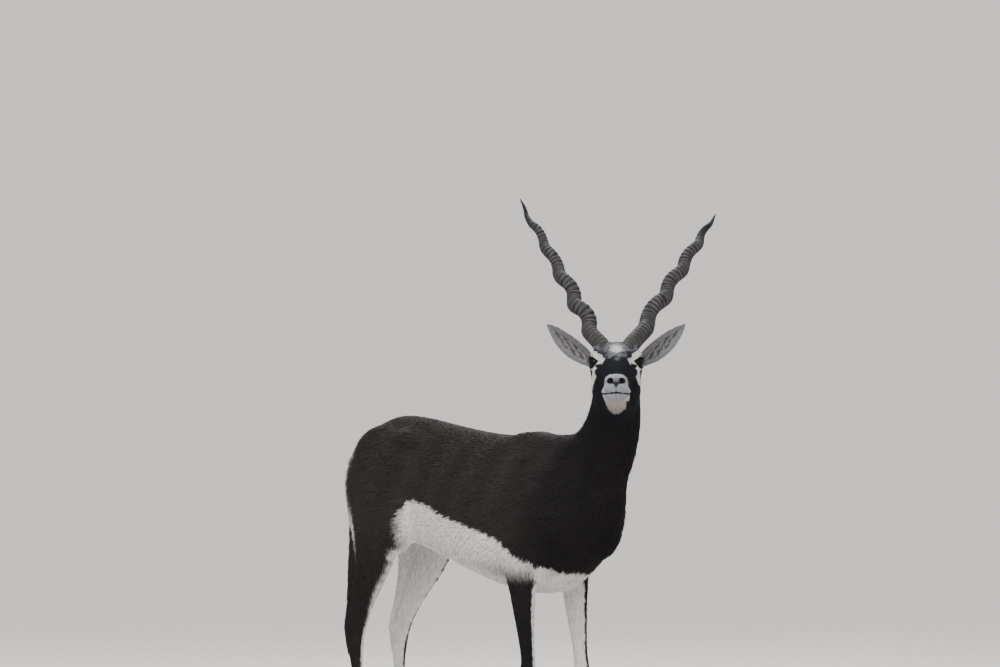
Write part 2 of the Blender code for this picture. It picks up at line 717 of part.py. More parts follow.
def ear(side, collection):
    """A leaf-shaped ear with a cup on its front, from crescent sections along its length."""
    mirror = np.array((1, 1 if side == "left" else -1, 1))
    axis = unit(EAR_TIP - EAR_BASE)
    facing = unit(EAR_FACING - (EAR_FACING @ axis) * axis)
    across = np.cross(facing, axis)
    rings = []
    for share, half, cup, thick in spline(EAR_SECTIONS, 2):
        arch = math.sin(math.pi * share)
        centre = EAR_BASE + share * (EAR_TIP - EAR_BASE) - arch * (EAR_BOW * facing + EAR_SAG * across)
        rows = np.linspace(-1, 1, EAR_POINTS)
        outer = [centre + across * half * u - facing * (cup * (1 - u * u) + thick / 2) for u in rows]
        rim = 1 - EAR_RIM / half
        inner = [centre + across * half * rim * u - facing * (cup * (1 - u * u) - thick / 2) for u in rows]
        rings.append([from_head(at * mirror) for at in outer + inner[::-1]])
    bm = bmesh.new()
    loft(bm, rings)
    return mesh_object(f"ear_{side}", bm, collection)


def eye(name, side, collection, grow=0.0):
    mirror = np.array((1, 1 if side == "left" else -1, 1))
    bm = bmesh.new()
    place = Matrix.Translation(from_head(EYE_PLACE * mirror))
    bmesh.ops.create_uvsphere(bm, u_segments=16, v_segments=10, radius=EYE_RADIUS + grow, matrix=place)
    return mesh_object(name, bm, collection)


def tail(collection):
    rings = []
    rows = spline(TAIL, 2)
    for n, (y, z, half, deep) in enumerate(rows):
        before, after = rows[max(n - 1, 0)], rows[min(n + 1, len(rows) - 1)]
        along = unit((0, after[0] - before[0], after[1] - before[1]))
        side = np.array((1.0, 0, 0))
        rings.append(round_ring(np.array((0, y, z)), side, np.cross(side, along), half, deep, 12))
    bm = bmesh.new()
    loft(bm, rings)
    return mesh_object("tail", bm, collection)


def coronet_height(y, foot_y):
    """Height of the line between leg and hoof, higher in front."""
    return CORONET - CORONET_SLOPE * (y - foot_y)


def hoof(name, claw, collection):
    """One claw of a foot: flat sole, straight inner wall, curved outer wall, narrow toe."""
    side = 1 if name.endswith("left") else -1
    foot = (FORELEG if name.startswith("front") else HIND_LEG)[-1]
    foot_y = foot[1] + stance(name, foot[2])
    outward = side if claw == "outer" else -side
    rings = []
    for share, width, heel, toe in HOOF_SECTIONS:
        ring = []
        for k in range(HOOF_POINTS):
            turn = math.tau * k / HOOF_POINTS
            v = (1 - math.cos(turn)) / 2
            bulge = abs(math.sin(turn)) ** 0.8
            across = width * bulge * (1 - 0.22 * v) if turn < math.pi else -0.0004 * bulge
            y = foot_y - heel - (toe - heel) * v
            top = coronet_height(y, foot_y) - GAP
            x = side * foot[0] + outward * (CLEFT / 2 + CLAW_WALL + across)
            ring.append((x, y, share * top))
        rings.append(ring)
    bm = bmesh.new()
    loft(bm, rings)
    return mesh_object(f"hoof_{name}_{claw}", bm, collection)


def cut_by(obj, operation, cutter, cutters):
    """Boolean with a closed cutter, applied."""
    cutter.hide_render = True
    cutter.display_type = "WIRE"
    for collection in cutter.users_collection:
        collection.objects.unlink(cutter)
    cutters.objects.link(cutter)
    modifier = obj.modifiers.new("cut", "BOOLEAN")
    modifier.operation = operation
    modifier.solver = "EXACT"
    modifier.object = cutter
    apply_modifiers(obj)


def keep_largest(obj):
    """Drop loose scraps, so that one closed body is left."""
    bm = bmesh.new()
    bm.from_mesh(obj.data)
    bmesh.ops.remove_doubles(bm, verts=bm.verts, dist=0.00002)
    bmesh.ops.dissolve_degenerate(bm, edges=bm.edges, dist=0.00002)
    bm.verts.ensure_lookup_table()
    left = set(bm.verts)
    pieces = []
    while left:
        todo = [left.pop()]
        piece = []
        while todo:
            vert = todo.pop()
            piece.append(vert)
            for edge in vert.link_edges:
                other = edge.other_vert(vert)
                if other in left:
                    left.remove(other)
                    todo.append(other)
        pieces.append(piece)
    pieces.sort(key=len)
    scraps = [vert for piece in pieces[:-1] for vert in piece]
    bmesh.ops.delete(bm, geom=scraps, context="VERTS")
    bmesh.ops.triangulate(bm, faces=bm.faces)
    bm.to_mesh(obj.data)
    bm.free()


def halve(obj, point, normal, keep_ahead):
    """Cut flat at a plane, keeping what lies ahead of it or behind, and close the cut."""
    bm = bmesh.new()
    bm.from_mesh(obj.data)
    found = bmesh.ops.bisect_plane(
        bm,
        geom=bm.verts[:] + bm.edges[:] + bm.faces[:],
        plane_co=Vector(point),
        plane_no=Vector(normal),
        clear_inner=keep_ahead,
        clear_outer=not keep_ahead,
    )
    rim = [item for item in found["geom_cut"] if isinstance(item, bmesh.types.BMEdge)]
    bmesh.ops.holes_fill(bm, edges=rim)
    bmesh.ops.triangulate(bm, faces=bm.faces)
    bm.to_mesh(obj.data)
    bm.free()


def copy_of(obj, name, collection):
    other = bpy.data.objects.new(name, obj.data.copy())
    collection.objects.link(other)
    return other


def grown(obj, amount, collection):
    """A copy moved outward along its normals, to cut neighbours clear of it."""
    other = copy_of(obj, f"{obj.name}_grown", collection)
    normals = np.empty(len(obj.data.vertices) * 3)
    obj.data.vertex_normals.foreach_get("vector", normals)
    points = vertices(other.data) + amount * normals.reshape(-1, 3)
    other.data.vertices.foreach_set("co", points.ravel())
    return other


def decimate(obj, triangles, kept=None):
    """Collapse to this many triangles, the last of them where kept is near 1."""
    modifier = obj.modifiers.new("coarser", "DECIMATE")
    obj.data.calc_loop_triangles()
    modifier.ratio = triangles / len(obj.data.loop_triangles)
    modifier.use_collapse_triangulate = True
    if kept is not None:
        group = obj.vertex_groups.new(name="kept")
        for index, weight in enumerate(kept):
            group.add([index], 0.5 * float(weight), "REPLACE")
        modifier.vertex_group = group.name
        modifier.invert_vertex_group = True
        modifier.vertex_group_factor = KEPT_WEIGHT
    apply_modifiers(obj)
    obj.vertex_groups.clear()


def face_detail(obj):
    """Near 1 at the eyes, the nose and the mouth, 0 over the rest of the head."""
    local = to_head(vertices(obj.data))
    local[:, 1] = np.abs(local[:, 1])
    eyes = 1 - step(0.018, 0.030, np.linalg.norm(local - EYE_PLACE, axis=1))
    nose = step(0.085, 0.110, local[:, 0])
    return np.maximum(eyes, nose)


def leg_cutter(outline, side, grow, collection):
    """A prism with a rounded side-view outline, from just beside the middle outward."""
    curve = bpy.data.curves.new("outline", "CURVE")
    curve.dimensions = "2D"
    curve.fill_mode = "BOTH"
    curve.extrude = 0.1
    points = spline(outline, 3)
    middle = points.mean(0)
    line = curve.splines.new("POLY")
    line.points.add(len(points) - 1)
    for point, at in zip(line.points, points):
        y, z = at + grow * unit(at - middle)
        point.co = (y, z, 0, 1)
    line.use_cyclic_u = True
    flat = bpy.data.objects.new("outline", curve)
    collection.objects.link(flat)
    aside = Matrix.Translation((side * (LEG_WALL - grow + curve.extrude), 0, 0))
    columns = [Vector((0, 1, 0)), Vector((0, 0, 1)), Vector((1, 0, 0))]
    flat.matrix_world = aside @ Matrix(columns).transposed().to_4x4()
    bpy.context.view_layer.update()
    mesh = bpy.data.meshes.new_from_object(flat.evaluated_get(bpy.context.evaluated_depsgraph_get()))
    mesh.transform(flat.matrix_world)
    bpy.data.objects.remove(flat)
    bm = bmesh.new()
    bm.from_mesh(mesh)
    bmesh.ops.remove_doubles(bm, verts=bm.verts, dist=0.00001)
    return mesh_object("leg_cutter", bm, collection)


def material(obj, colour, roughness):
    surface = bpy.data.materials.new(obj.name)
    surface.use_nodes = True
    shader = surface.node_tree.nodes["Principled BSDF"]
    shader.inputs["Base Color"].default_value = (*colour, 1)
    shader.inputs["Roughness"].default_value = roughness
    shader.inputs["Metallic"].default_value = 0.0
    obj.data.materials.clear()
    obj.data.materials.append(surface)


def flesh(parts, cutters):
    """Head, neck, torso and legs, parted with thin cuts."""
    form = Body()
    head = settled("head", [form.head, form.neck], form, HEAD_VOXELS, parts)
    nape = from_head(NAPE_CUT)
    nape_normal = NAPE_NORMAL @ HEAD_AXES
    halve(head, nape, nape_normal, True)
    keep_largest(head)
    decimate(head, TRIANGLES["head"], face_detail(head))
    torso = settled("torso", [form.trunk, *form.legs, form.neck], form, BODY_VOXELS, parts)
    decimate(torso, TRIANGLES["body"])
    neck = copy_of(torso, "neck", parts)
    halve(neck, nape - GAP * nape_normal, nape_normal, False)
    chest_normal = unit(CHEST_NORMAL)
    halve(neck, CHEST_CUT + GAP * chest_normal, chest_normal, True)
    halve(torso, CHEST_CUT, chest_normal, False)
    legs = []
    for name in STANCE:
        side = 1 if name.endswith("left") else -1
        outline = FORE_OUTLINE if name.startswith("front") else HIND_OUTLINE
        leg = copy_of(torso, f"leg_{name}", parts)
        legs.append(leg)
        cut_by(leg, "INTERSECT", leg_cutter(outline, side, 0.0, cutters), cutters)
        foot = (FORELEG if name.startswith("front") else HIND_LEG)[-1]
        foot_y = foot[1] + stance(name, foot[2])
        halve(leg, (0, foot_y, CORONET), unit((0, CORONET_SLOPE, 1)), True)
    for name in STANCE:
        side = 1 if name.endswith("left") else -1
        outline = FORE_OUTLINE if name.startswith("front") else HIND_OUTLINE
        cut_by(torso, "DIFFERENCE", leg_cutter(outline, side, GAP, cutters), cutters)
    for piece in (neck, torso, *legs):
        keep_largest(piece)
    return head, neck, torso, legs


def centre_on_origin(objects):
    """Move the whole model so that the middle of its bounding box stands over the origin."""
    corners = np.concatenate([vertices(obj.data) for obj in objects])
    middle = (corners.min(0) + corners.max(0)) / 2
    for obj in objects:
        obj.data.transform(Matrix.Translation((-middle[0], -middle[1], 0)))


def main():
    for obj in list(bpy.data.objects):
        bpy.data.objects.remove(obj)
    parts = bpy.data.collections.new("blackbuck")
    cutters = bpy.data.collections.new("cutters")
    bpy.context.scene.collection.children.link(parts)
    bpy.context.scene.collection.children.link(cutters)
    head, neck, torso, legs = flesh(parts, cutters)
    for piece in (neck, torso, *legs):
        material(piece, DARK_COAT, 0.85)
    for side in ("left", "right"):
        cut_by(head, "DIFFERENCE", eye(f"socket_{side}", side, cutters, GAP), cutters)
        material(eye(f"eye_{side}", side, parts), EYE_BROWN, 0.1)
    keep_largest(head)
    material(head, DARK_COAT, 0.85)
    around_head = grown(head, GAP, cutters)
    for side in ("left", "right"):
        one = horn(side, parts)
        cut_by(one, "DIFFERENCE", around_head, cutters)
        keep_largest(one)
        material(one, HORN_GREY, 0.6)
        other = ear(side, parts)
        cut_by(other, "DIFFERENCE", around_head, cutters)
        cut_by(other, "DIFFERENCE", grown(one, GAP, cutters), cutters)
        keep_largest(other)
        material(other, EAR_GREY, 0.85)
    dock = tail(parts)
    cut_by(torso, "DIFFERENCE", grown(dock, GAP, cutters), cutters)
    keep_largest(torso)
    material(dock, DARK_COAT, 0.85)
    for name in STANCE:
        for claw in ("inner", "outer"):
            material(hoof(name, claw, parts), HOOF_BLACK, 0.5)
    centre_on_origin(parts.objects)
    for obj in parts.objects:
        obj.data.shade_smooth()
        if not obj.name.startswith("horn"):
            obj.data.set_sharp_from_angle(angle=math.radians(40))


if __name__ == "__main__":
    main()
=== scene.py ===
"""Looks of the blackbuck: one skin with its short coat and markings, eyes, lids, ears, horns and hooves.

Shapes are made in the same place as the solids' source and then moved to where the frame's left eye lies.
"""
import math

import bmesh
import bpy
import numpy as np
from mathutils import Euler, Matrix, Vector

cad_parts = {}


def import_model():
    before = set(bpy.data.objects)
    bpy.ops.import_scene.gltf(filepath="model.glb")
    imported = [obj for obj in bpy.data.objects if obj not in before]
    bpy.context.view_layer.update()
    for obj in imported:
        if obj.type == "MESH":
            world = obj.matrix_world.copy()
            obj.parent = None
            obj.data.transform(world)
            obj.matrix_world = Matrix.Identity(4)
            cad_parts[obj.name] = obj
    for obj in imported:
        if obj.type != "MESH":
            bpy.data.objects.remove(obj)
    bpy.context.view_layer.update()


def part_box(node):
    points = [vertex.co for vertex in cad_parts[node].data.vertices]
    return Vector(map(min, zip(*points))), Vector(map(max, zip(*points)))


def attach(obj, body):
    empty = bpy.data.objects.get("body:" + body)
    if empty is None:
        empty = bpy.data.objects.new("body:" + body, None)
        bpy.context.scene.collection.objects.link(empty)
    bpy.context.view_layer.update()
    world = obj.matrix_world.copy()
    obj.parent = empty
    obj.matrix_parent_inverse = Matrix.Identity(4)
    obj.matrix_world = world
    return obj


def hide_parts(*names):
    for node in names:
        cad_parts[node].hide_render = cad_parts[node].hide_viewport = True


# Driving sizes, in metres and degrees.
HEAD_YAW = -40
HEAD_PITCH = 11
EYES_MIDDLE = np.array((-0.062, -0.545, 0.952))
EYE_RADIUS = 0.0145
EYE_TURN = 57
LID_LENGTH = 0.0134
LID_HEIGHT = 0.0092
LID_THICKNESS = 0.0022
LID_OPENING = 0.0030
# Crease and rim of the lids: their place above the lid's edge, width and height.
LID_CREASE = (0.0044, 0.0012, 0.0009)
LID_RIM = (0.0008, 0.0010, 0.0006)
CORONET = 0.034
CORONET_SLOPE = 0.35
CLEFT = 0.0022
CLAW_WALL = 0.0006
# The head's own axes are forward, left and up from the middle between the eyes.
EYE_PLACE = np.array((0.004, 0.0438, 0.0))
NAPE_CUT = np.array((-0.078, 0, -0.035))
NAPE_NORMAL = np.array((0.891, 0, 0.454))
# Horns: the turns of the spiral by share of the length, then the swing and the radius at given shares.
HORN_LENGTH = 0.512
HORN_BASE = np.array((-0.024, 0.0304, 0.043))
HORN_LEAN = {"left": 46.2, "right": 51.1}
HORN_SPREAD = {"left": 21.1, "right": 20.2}
HORN_BULGES = {
    "left": [(0, -0.27), (0.13, 0), (0.37, 1), (0.57, 2), (0.765, 3), (0.932, 4), (1, 4.3)],
    "right": [(0, -0.27), (0.105, 0), (0.285, 1), (0.475, 2), (0.662, 3), (0.832, 4), (1, 4.4)],
}
HORN_SWING_SHARES = (0, 0.12, 0.35, 0.55, 0.75, 0.9, 1)
HORN_SWING = {
    "left": (0.0042, 0.0056, 0.0055, 0.0042, 0.0036, 0.0028, 0),
    "right": (0.0055, 0.0068, 0.006, 0.0036, 0.0028, 0.0062, 0),
}
HORN_SHARES = (0, 0.1, 0.3, 0.5, 0.66, 0.8, 0.88, 0.95, 1)
HORN_RADII = {
    "left": (0.0176, 0.0171, 0.0154, 0.0142, 0.0125, 0.0097, 0.0070, 0.0038, 0.0009),
    "right": (0.0170, 0.0163, 0.0152, 0.0133, 0.0109, 0.0081, 0.0060, 0.0035, 0.0009),
}
HORN_RINGS = 48
RING_START = -0.036
RINGED = 0.872
RING_RELIEF = 0.0011
RING_SPACING = 0.95
# Ears: share of the length, half width, depth of the cup, thickness.
EAR_BASE = np.array((-0.056, 0.048, 0.011))
EAR_TIP = np.array((-0.107, 0.1455, 0.101))
EAR_FACING = np.array((1.0, -0.05, -0.10))
EAR_SECTIONS = [
    (0.0, 0.0100, 0.0040, 0.0140),
    (0.12, 0.0142, 0.0095, 0.0080),
    (0.28, 0.0184, 0.0120, 0.0045),
    (0.46, 0.0204, 0.0110, 0.0038),
    (0.64, 0.0187, 0.0086, 0.0034),
    (0.80, 0.0140, 0.0050, 0.0030),
    (0.92, 0.0078, 0.0022, 0.0026),
    (1.0, 0.0022, 0.0004, 0.0020),
]
EAR_SAG = 0.0035
EAR_BOW = 0.012
EAR_RIM = 0.0009
# Tail: back, height, half width, half thickness.
TAIL = [
    (0.335, 0.752, 0.0150, 0.0130),
    (0.364, 0.745, 0.0200, 0.0145),
    (0.385, 0.715, 0.0215, 0.0135),
    (0.393, 0.668, 0.0205, 0.0120),
    (0.394, 0.618, 0.0165, 0.0100),
    (0.391, 0.582, 0.0060, 0.0045),
]
# Hoof: share of the height, width of a claw, how far its heel and its toe lie before the leg's middle.
HOOF_SECTIONS = [
    (0.0, 0.0140, -0.0130, 0.0390),
    (0.35, 0.0146, -0.0150, 0.0330),
    (0.7, 0.0142, -0.0150, 0.0240),
    (1.0, 0.0134, -0.0135, 0.0155),
]
# The blending: a value for far away, how far a form reaches, when a vertex has settled and in how many
# rounds, and a step for slopes.
FAR = 0.2
REACH = 0.05
SETTLED = 0.00002
SETTLE_ROUNDS = 3
PROBE = 0.0004
# Fillets: of a group's first form, of a cut, and where the legs, neck, tail and head join.
FIRST = 0.01
CUT = -0.003
LEG_FILLET = 0.022
NECK_FILLET = 0.050
TAIL_FILLET = 0.012
HEAD_FILLET = 0.022
# Sides of the plain solids that the skin starts from.
LUMP_SIDES = 16
LUMP_RINGS = 10
TUBE_SIDES = 12
LOAF_SIDES = 16


def spline(rows, count):
    """A smooth row of values through the given rows, count steps to each span."""
    rows = np.asarray(rows, float)
    ends = np.vstack([2 * rows[0] - rows[1], rows, 2 * rows[-1] - rows[-2]])
    t = np.linspace(0, 1, count, endpoint=False)[:, None]
    spans = []
    for a, b, c, d in zip(ends, ends[1:], ends[2:], ends[3:]):
        bend = (2 * a - 5 * b + 4 * c - d) * t**2 + (-a + 3 * b - 3 * c + d) * t**3
        spans.append(0.5 * (2 * b + (c - a) * t + bend))
    return np.vstack([*spans, rows[-1:]])


def step(low, high, x):
    """0 below low, 1 above high, smooth between."""
    t = np.clip((x - low) / (high - low), 0, 1)
    return t * t * (3 - 2 * t)


def fade(low, high, x):
    """1 below low, 0 above high, smooth between."""
    return 1 - step(low, high, x)


def join(a, b, blend):
    """Union of two forms with a fillet about this wide."""
    h = np.clip(0.5 + 0.5 * (b - a) / blend, 0, 1)
    return b * (1 - h) + a * h - blend * h * (1 - h)


def carve(a, b, blend):
    """Form a with b taken out."""
    return -join(-a, b, blend)


def unit(v):
    """One vector at length 1."""
    v = np.asarray(v, float)
    return v / np.linalg.norm(v)


def lengths(rows):
    """Length of each row."""
    return np.linalg.norm(rows, axis=1)


def units(rows):
    """Each row at length 1."""
    return rows / np.maximum(lengths(rows)[:, None], 1e-9)


def read(table, place):
    """Values read between the rows of a table of place and value."""
    return np.interp(place, *zip(*table))


def rounded(q, shares, power, half):
    """Distance from a rounded form. q is from its middle and shares is in its half sizes there."""
    k = (np.abs(shares) ** power).sum(1) ** (1 / power) + 1e-9
    return lengths(q) * (1 - 1 / k) - (k < 1e-6) * half


class Lump:
    """Ellipsoid form, squarer for a higher power. turn is in degrees about X, Y and Z."""

    def __init__(self, centre, size, turn=(0, 0, 0), power=2.0):
        self.centre = np.array(centre, float)
        self.size = np.array(size, float)
        self.axes = np.array(Euler([math.radians(t) for t in turn]).to_matrix())
        self.power = power

    def distance(self, points):
        d = np.full(len(points), FAR)
        near = lengths(points - self.centre) < self.size.max() + REACH
        q = (points[near] - self.centre) @ self.axes
        d[near] = rounded(q, q / self.size, self.power, self.size.min())
        return d

    def add_to(self, bm, place):
        local = Matrix.Translation(self.centre) @ Matrix(self.axes.tolist()).to_4x4()
        matrix = place @ local @ Matrix.Diagonal((*self.size, 1))
        bmesh.ops.create_uvsphere(bm, u_segments=LUMP_SIDES, v_segments=LUMP_RINGS, radius=1, matrix=matrix)


class Tube:
    """Form along a line. A row is x, y, z, half width along side, half depth, and its own side if any."""

    def __init__(self, rows, side=(1, 0, 0), power=2.0, egg=0.0):
        rows = np.asarray(rows, float)
        self.rows = rows[:, :5]
        self.power = power
        self.egg = egg
        self.along = units(np.gradient(rows[:, :3], axis=0))
        sides = rows[:, 5:8] if rows.shape[1] > 5 else np.tile(np.array(side, float), (len(rows), 1))
        self.sides = units(sides - (sides * self.along).sum(1, keepdims=True) * self.along)
        self.ups = np.cross(self.sides, self.along)

    def distance(self, points):
        widest = self.rows[:, 3:5].max() + REACH
        low = self.rows[:, :3].min(0) - widest
        high = self.rows[:, :3].max(0) + widest
        near = ((points > low) & (points < high)).all(1)
        d = np.full(len(points), FAR)
        if near.any():
            d[near] = self.section_distance(points[near])
        return d

    def section_distance(self, p):
        best = np.full(len(p), np.inf)
        place = np.zeros(len(p))
        for n, (a, b) in enumerate(zip(self.rows, self.rows[1:])):
            line = b[:3] - a[:3]
            share = (p - a[:3]) @ line / (line @ line)
            t = np.clip(share, 0, 1)
            off = p - a[:3] - t[:, None] * line
            found = (off**2).sum(1)
            closer = found < best
            best[closer] = found[closer]
            place[closer] = n + t[closer]
        n = np.minimum(place.astype(int), len(self.rows) - 2)
        t = (place - n)[:, None]

        def between(values):
            return values[n] * (1 - t) + values[n + 1] * t

        row = between(self.rows)
        q = p - row[:, :3]
        half = row[:, 3:5]
        v = (q * between(self.ups)).sum(1) / half[:, 1]
        u = (q * between(self.sides)).sum(1) / (half[:, 0] * (1 - self.egg * np.clip(v, -1, 1)))
        past_start = np.where(place <= 0, -(q @ self.along[0]), 0)
        past_end = np.where(place >= len(self.rows) - 1, q @ self.along[-1], 0)
        w = np.maximum(np.maximum(past_start, past_end), 0) / half.min(1)
        return rounded(q, np.stack([u, v, w], 1), self.power, half.min(1))

    def add_to(self, bm, place):
        rings = []
        for row, side, up in zip(self.rows, self.sides, self.ups):
            turns = [math.tau * k / TUBE_SIDES for k in range(TUBE_SIDES)]
            ring = [row[:3] + side * row[3] * math.cos(t) + up * row[4] * math.sin(t) for t in turns]
            rings.append([place @ Vector(at) for at in ring])
        loft(bm, rings)


class Loaf:
    """Form of upright sections along a straight axis. A row is its place, top, bottom and half width."""

    def __init__(self, rows, axis, across, power=2.0, egg=0.0):
        self.rows = spline(sorted(rows), 8)
        self.axis = axis
        self.across = across
        self.power = power
        self.egg = egg

    def distance(self, points):
        a = points[:, self.axis]
        place = np.clip(a, self.rows[0, 0], self.rows[-1, 0])
        top, bottom, half = (np.interp(place, self.rows[:, 0], self.rows[:, n]) for n in (1, 2, 3))
        deep = (top - bottom) / 2
        q = np.stack([a - place, points[:, self.across], points[:, 2] - (top + bottom) / 2], 1)
        v = q[:, 2] / deep
        u = q[:, 1] / (half * (1 - self.egg * np.clip(v, -1, 1)))
        w = q[:, 0] / np.minimum(half, deep)
        return rounded(q, np.stack([u, v, w], 1), self.power, half)

    def add_to(self, bm, place):
        rings = []
        for a, top, bottom, half in self.rows:
            ring = []
            for k in range(LOAF_SIDES):
                turn = math.tau * k / LOAF_SIDES
                at = Vector((0, 0, (top + bottom) / 2 + (top - bottom) / 2 * math.sin(turn)))
                at[self.axis] = a
                at[self.across] = half * math.cos(turn)
                ring.append(place @ at)
            rings.append(ring)
        loft(bm, rings)


class Group:
    """Forms blended in order in axes of their own. A negative blend carves, and mirror is the axis across."""

    def __init__(self, steps, origin=(0, 0, 0), axes=np.eye(3), mirror=None, finish=None):
        self.steps = steps
        self.origin = np.array(origin, float)
        self.axes = axes
        self.mirror = mirror
        self.finish = finish
        bm = bmesh.new()
        self.add_to(bm)
        corners = np.array([v.co for v in bm.verts])
        bm.free()
        self.low = corners.min(0) - 2 * REACH
        self.high = corners.max(0) + 2 * REACH

    def distance(self, points):
        d = np.full(len(points), FAR)
        near = ((points > self.low) & (points < self.high)).all(1)
        if near.any():
            d[near] = self.blended(points[near])
        return d

    def blended(self, points):
        local = (points - self.origin) @ self.axes.T
        if self.mirror is not None:
            local[:, self.mirror] = np.abs(local[:, self.mirror])
        d = np.full(len(points), FAR)
        for form, blend in self.steps:
            other = form.distance(local)
            d = join(d, other, blend) if blend > 0 else carve(d, other, -blend)
        return d if self.finish is None else self.finish(d, local)

    def add_to(self, bm):
        place = Matrix.Translation(self.origin) @ Matrix(self.axes.T.tolist()).to_4x4()
        for form, blend in self.steps:
            if blend < 0:
                continue
            form.add_to(bm, place)
            if self.mirror is not None:
                flip = Matrix.Identity(4)
                flip[self.mirror][self.mirror] = -1
                form.add_to(bm, place @ flip)


def loft(bm, rings):
    """Skin over rings of equal count, closed at both ends."""
    rows = [[bm.verts.new(at) for at in ring] for ring in rings]
    for one, two in zip(rows, rows[1:]):
        for k in range(len(one)):
            bm.faces.new((one[k], one[k - 1], two[k - 1], two[k]))
    bm.faces.new(rows[0])
    bm.faces.new(rows[-1][::-1])


# The trunk from the rump forward: y, top, bottom, half width.
TRUNK = [
    (0.360, 0.740, 0.625, 0.042),
    (0.335, 0.774, 0.585, 0.068),
    (0.292, 0.804, 0.560, 0.086),
    (0.236, 0.818, 0.550, 0.092),
    (0.165, 0.815, 0.537, 0.088),
    (0.080, 0.804, 0.516, 0.093),
    (-0.012, 0.793, 0.490, 0.105),
    (-0.105, 0.787, 0.466, 0.110),
    (-0.187, 0.789, 0.452, 0.105),
    (-0.257, 0.791, 0.450, 0.092),
    (-0.315, 0.782, 0.466, 0.080),
    (-0.370, 0.758, 0.500, 0.066),
    (-0.412, 0.718, 0.545, 0.046),
]
# The left legs from the body down: x, y, z, half width, half depth.
FORELEG = [
    (0.072, -0.255, 0.560, 0.026, 0.050),
    (0.074, -0.243, 0.505, 0.027, 0.043),
    (0.072, -0.246, 0.455, 0.0235, 0.034),
    (0.070, -0.254, 0.385, 0.0175, 0.0240),
    (0.068, -0.262, 0.320, 0.0140, 0.0170),
    (0.068, -0.265, 0.280, 0.0165, 0.0190),
    (0.068, -0.264, 0.250, 0.0145, 0.0160),
    (0.068, -0.261, 0.220, 0.0105, 0.0120),
    (0.068, -0.259, 0.165, 0.0092, 0.0112),
    (0.068, -0.258, 0.115, 0.0098, 0.0122),
    (0.068, -0.260, 0.088, 0.0135, 0.0155),
    (0.068, -0.272, 0.058, 0.0115, 0.0120),
    (0.068, -0.281, 0.030, 0.0150, 0.0150),
]
HIND_LEG = [
    (0.058, 0.255, 0.700, 0.036, 0.085),
    (0.070, 0.247, 0.630, 0.042, 0.084),
    (0.078, 0.244, 0.565, 0.036, 0.074),
    (0.077, 0.262, 0.503, 0.027, 0.056),
    (0.073, 0.290, 0.447, 0.0195, 0.0385),
    (0.069, 0.318, 0.395, 0.0150, 0.0285),
    (0.068, 0.339, 0.352, 0.0158, 0.0255),
    (0.068, 0.345, 0.315, 0.0146, 0.0212),
    (0.068, 0.344, 0.270, 0.0112, 0.0150),
    (0.068, 0.338, 0.200, 0.0098, 0.0122),
    (0.068, 0.333, 0.130, 0.0102, 0.0128),
    (0.068, 0.331, 0.095, 0.0140, 0.0160),
    (0.068, 0.318, 0.060, 0.0118, 0.0125),
    (0.068, 0.309, 0.030, 0.0150, 0.0152),
]
HEEL_TENDON = [
    (0.068, 0.354, 0.305, 0.0070, 0.0110),
    (0.068, 0.368, 0.352, 0.0088, 0.0100),
    (0.069, 0.360, 0.395, 0.0060, 0.0090),
    (0.072, 0.342, 0.450, 0.0090, 0.0160),
    (0.070, 0.322, 0.515, 0.0170, 0.0300),
    (0.064, 0.300, 0.600, 0.0300, 0.0500),
    (0.060, 0.290, 0.660, 0.0340, 0.0600),
]
# Each foot's step forward (-) or back, in metres at the floor.
STANCE = {"front_left": -0.022, "front_right": 0.012, "hind_left": 0.012, "hind_right": -0.028}
LEG_TOP = 0.56
# The neck from the chest to the back of the head: share of the way, half width, half depth.
NECK_SECTIONS = [
    (0.0, 0.064, 0.108),
    (0.25, 0.063, 0.094),
    (0.5, 0.060, 0.077),
    (0.75, 0.054, 0.063),
    (1.0, 0.046, 0.053),
]
NECK_START = np.array((0.0, -0.295, 0.648))
NECK_BEND = np.array((0.012, -0.446, 0.742))
# The head in its own axes, which are forward, left and up from the middle between the eyes.
# From the back of the head to the nose: forward, top, bottom, half width.
SKULL = [
    (-0.088, 0.002, -0.045, 0.022),
    (-0.072, 0.024, -0.068, 0.037),
    (-0.048, 0.040, -0.088, 0.045),
    (-0.020, 0.048, -0.094, 0.045),
    (0.005, 0.044, -0.091, 0.041),
    (0.030, 0.029, -0.086, 0.036),
    (0.055, 0.011, -0.083, 0.031),
    (0.080, -0.008, -0.082, 0.0265),
    (0.103, -0.025, -0.086, 0.0240),
    (0.116, -0.035, -0.087, 0.0215),
    (0.125, -0.043, -0.083, 0.0160),
]


def head_axes():
    """Rows: the head's forward, left and up directions in the model's axes."""
    yaw = math.radians(HEAD_YAW)
    pitch = math.radians(HEAD_PITCH)
    level = np.array((math.sin(yaw), -math.cos(yaw), 0.0))
    forward = level * math.cos(pitch) + np.array((0, 0, math.sin(pitch)))
    up = -level * math.sin(pitch) + np.array((0, 0, math.cos(pitch)))
    return np.array([forward, np.cross(up, forward), up])


HEAD_AXES = head_axes()


def to_head(points):
    """Points in the head's axes."""
    return (points - EYES_MIDDLE) @ HEAD_AXES.T


def to_half_head(points):
    """Points in the head's axes, with those on its right side put on the left."""
    m = to_head(points)
    m[:, 1] = np.abs(m[:, 1])
    return m


def from_head(local):
    """Points of the head's axes in the model's axes."""
    return np.asarray(local) @ HEAD_AXES + EYES_MIDDLE


def eye_axes():
    """Rows: the left eye's outward gaze, its line from corner to corner, and up."""
    turn = math.radians(EYE_TURN)
    gaze = unit((math.cos(turn), math.sin(turn), 0.10))
    corner = unit(np.cross((0, 0, 1), gaze))
    tilt = math.radians(-8)
    corner = corner * math.cos(tilt) + np.cross(gaze, corner) * math.sin(tilt)
    return np.array([gaze, corner, np.cross(gaze, corner)])


EYE_AXES = eye_axes()


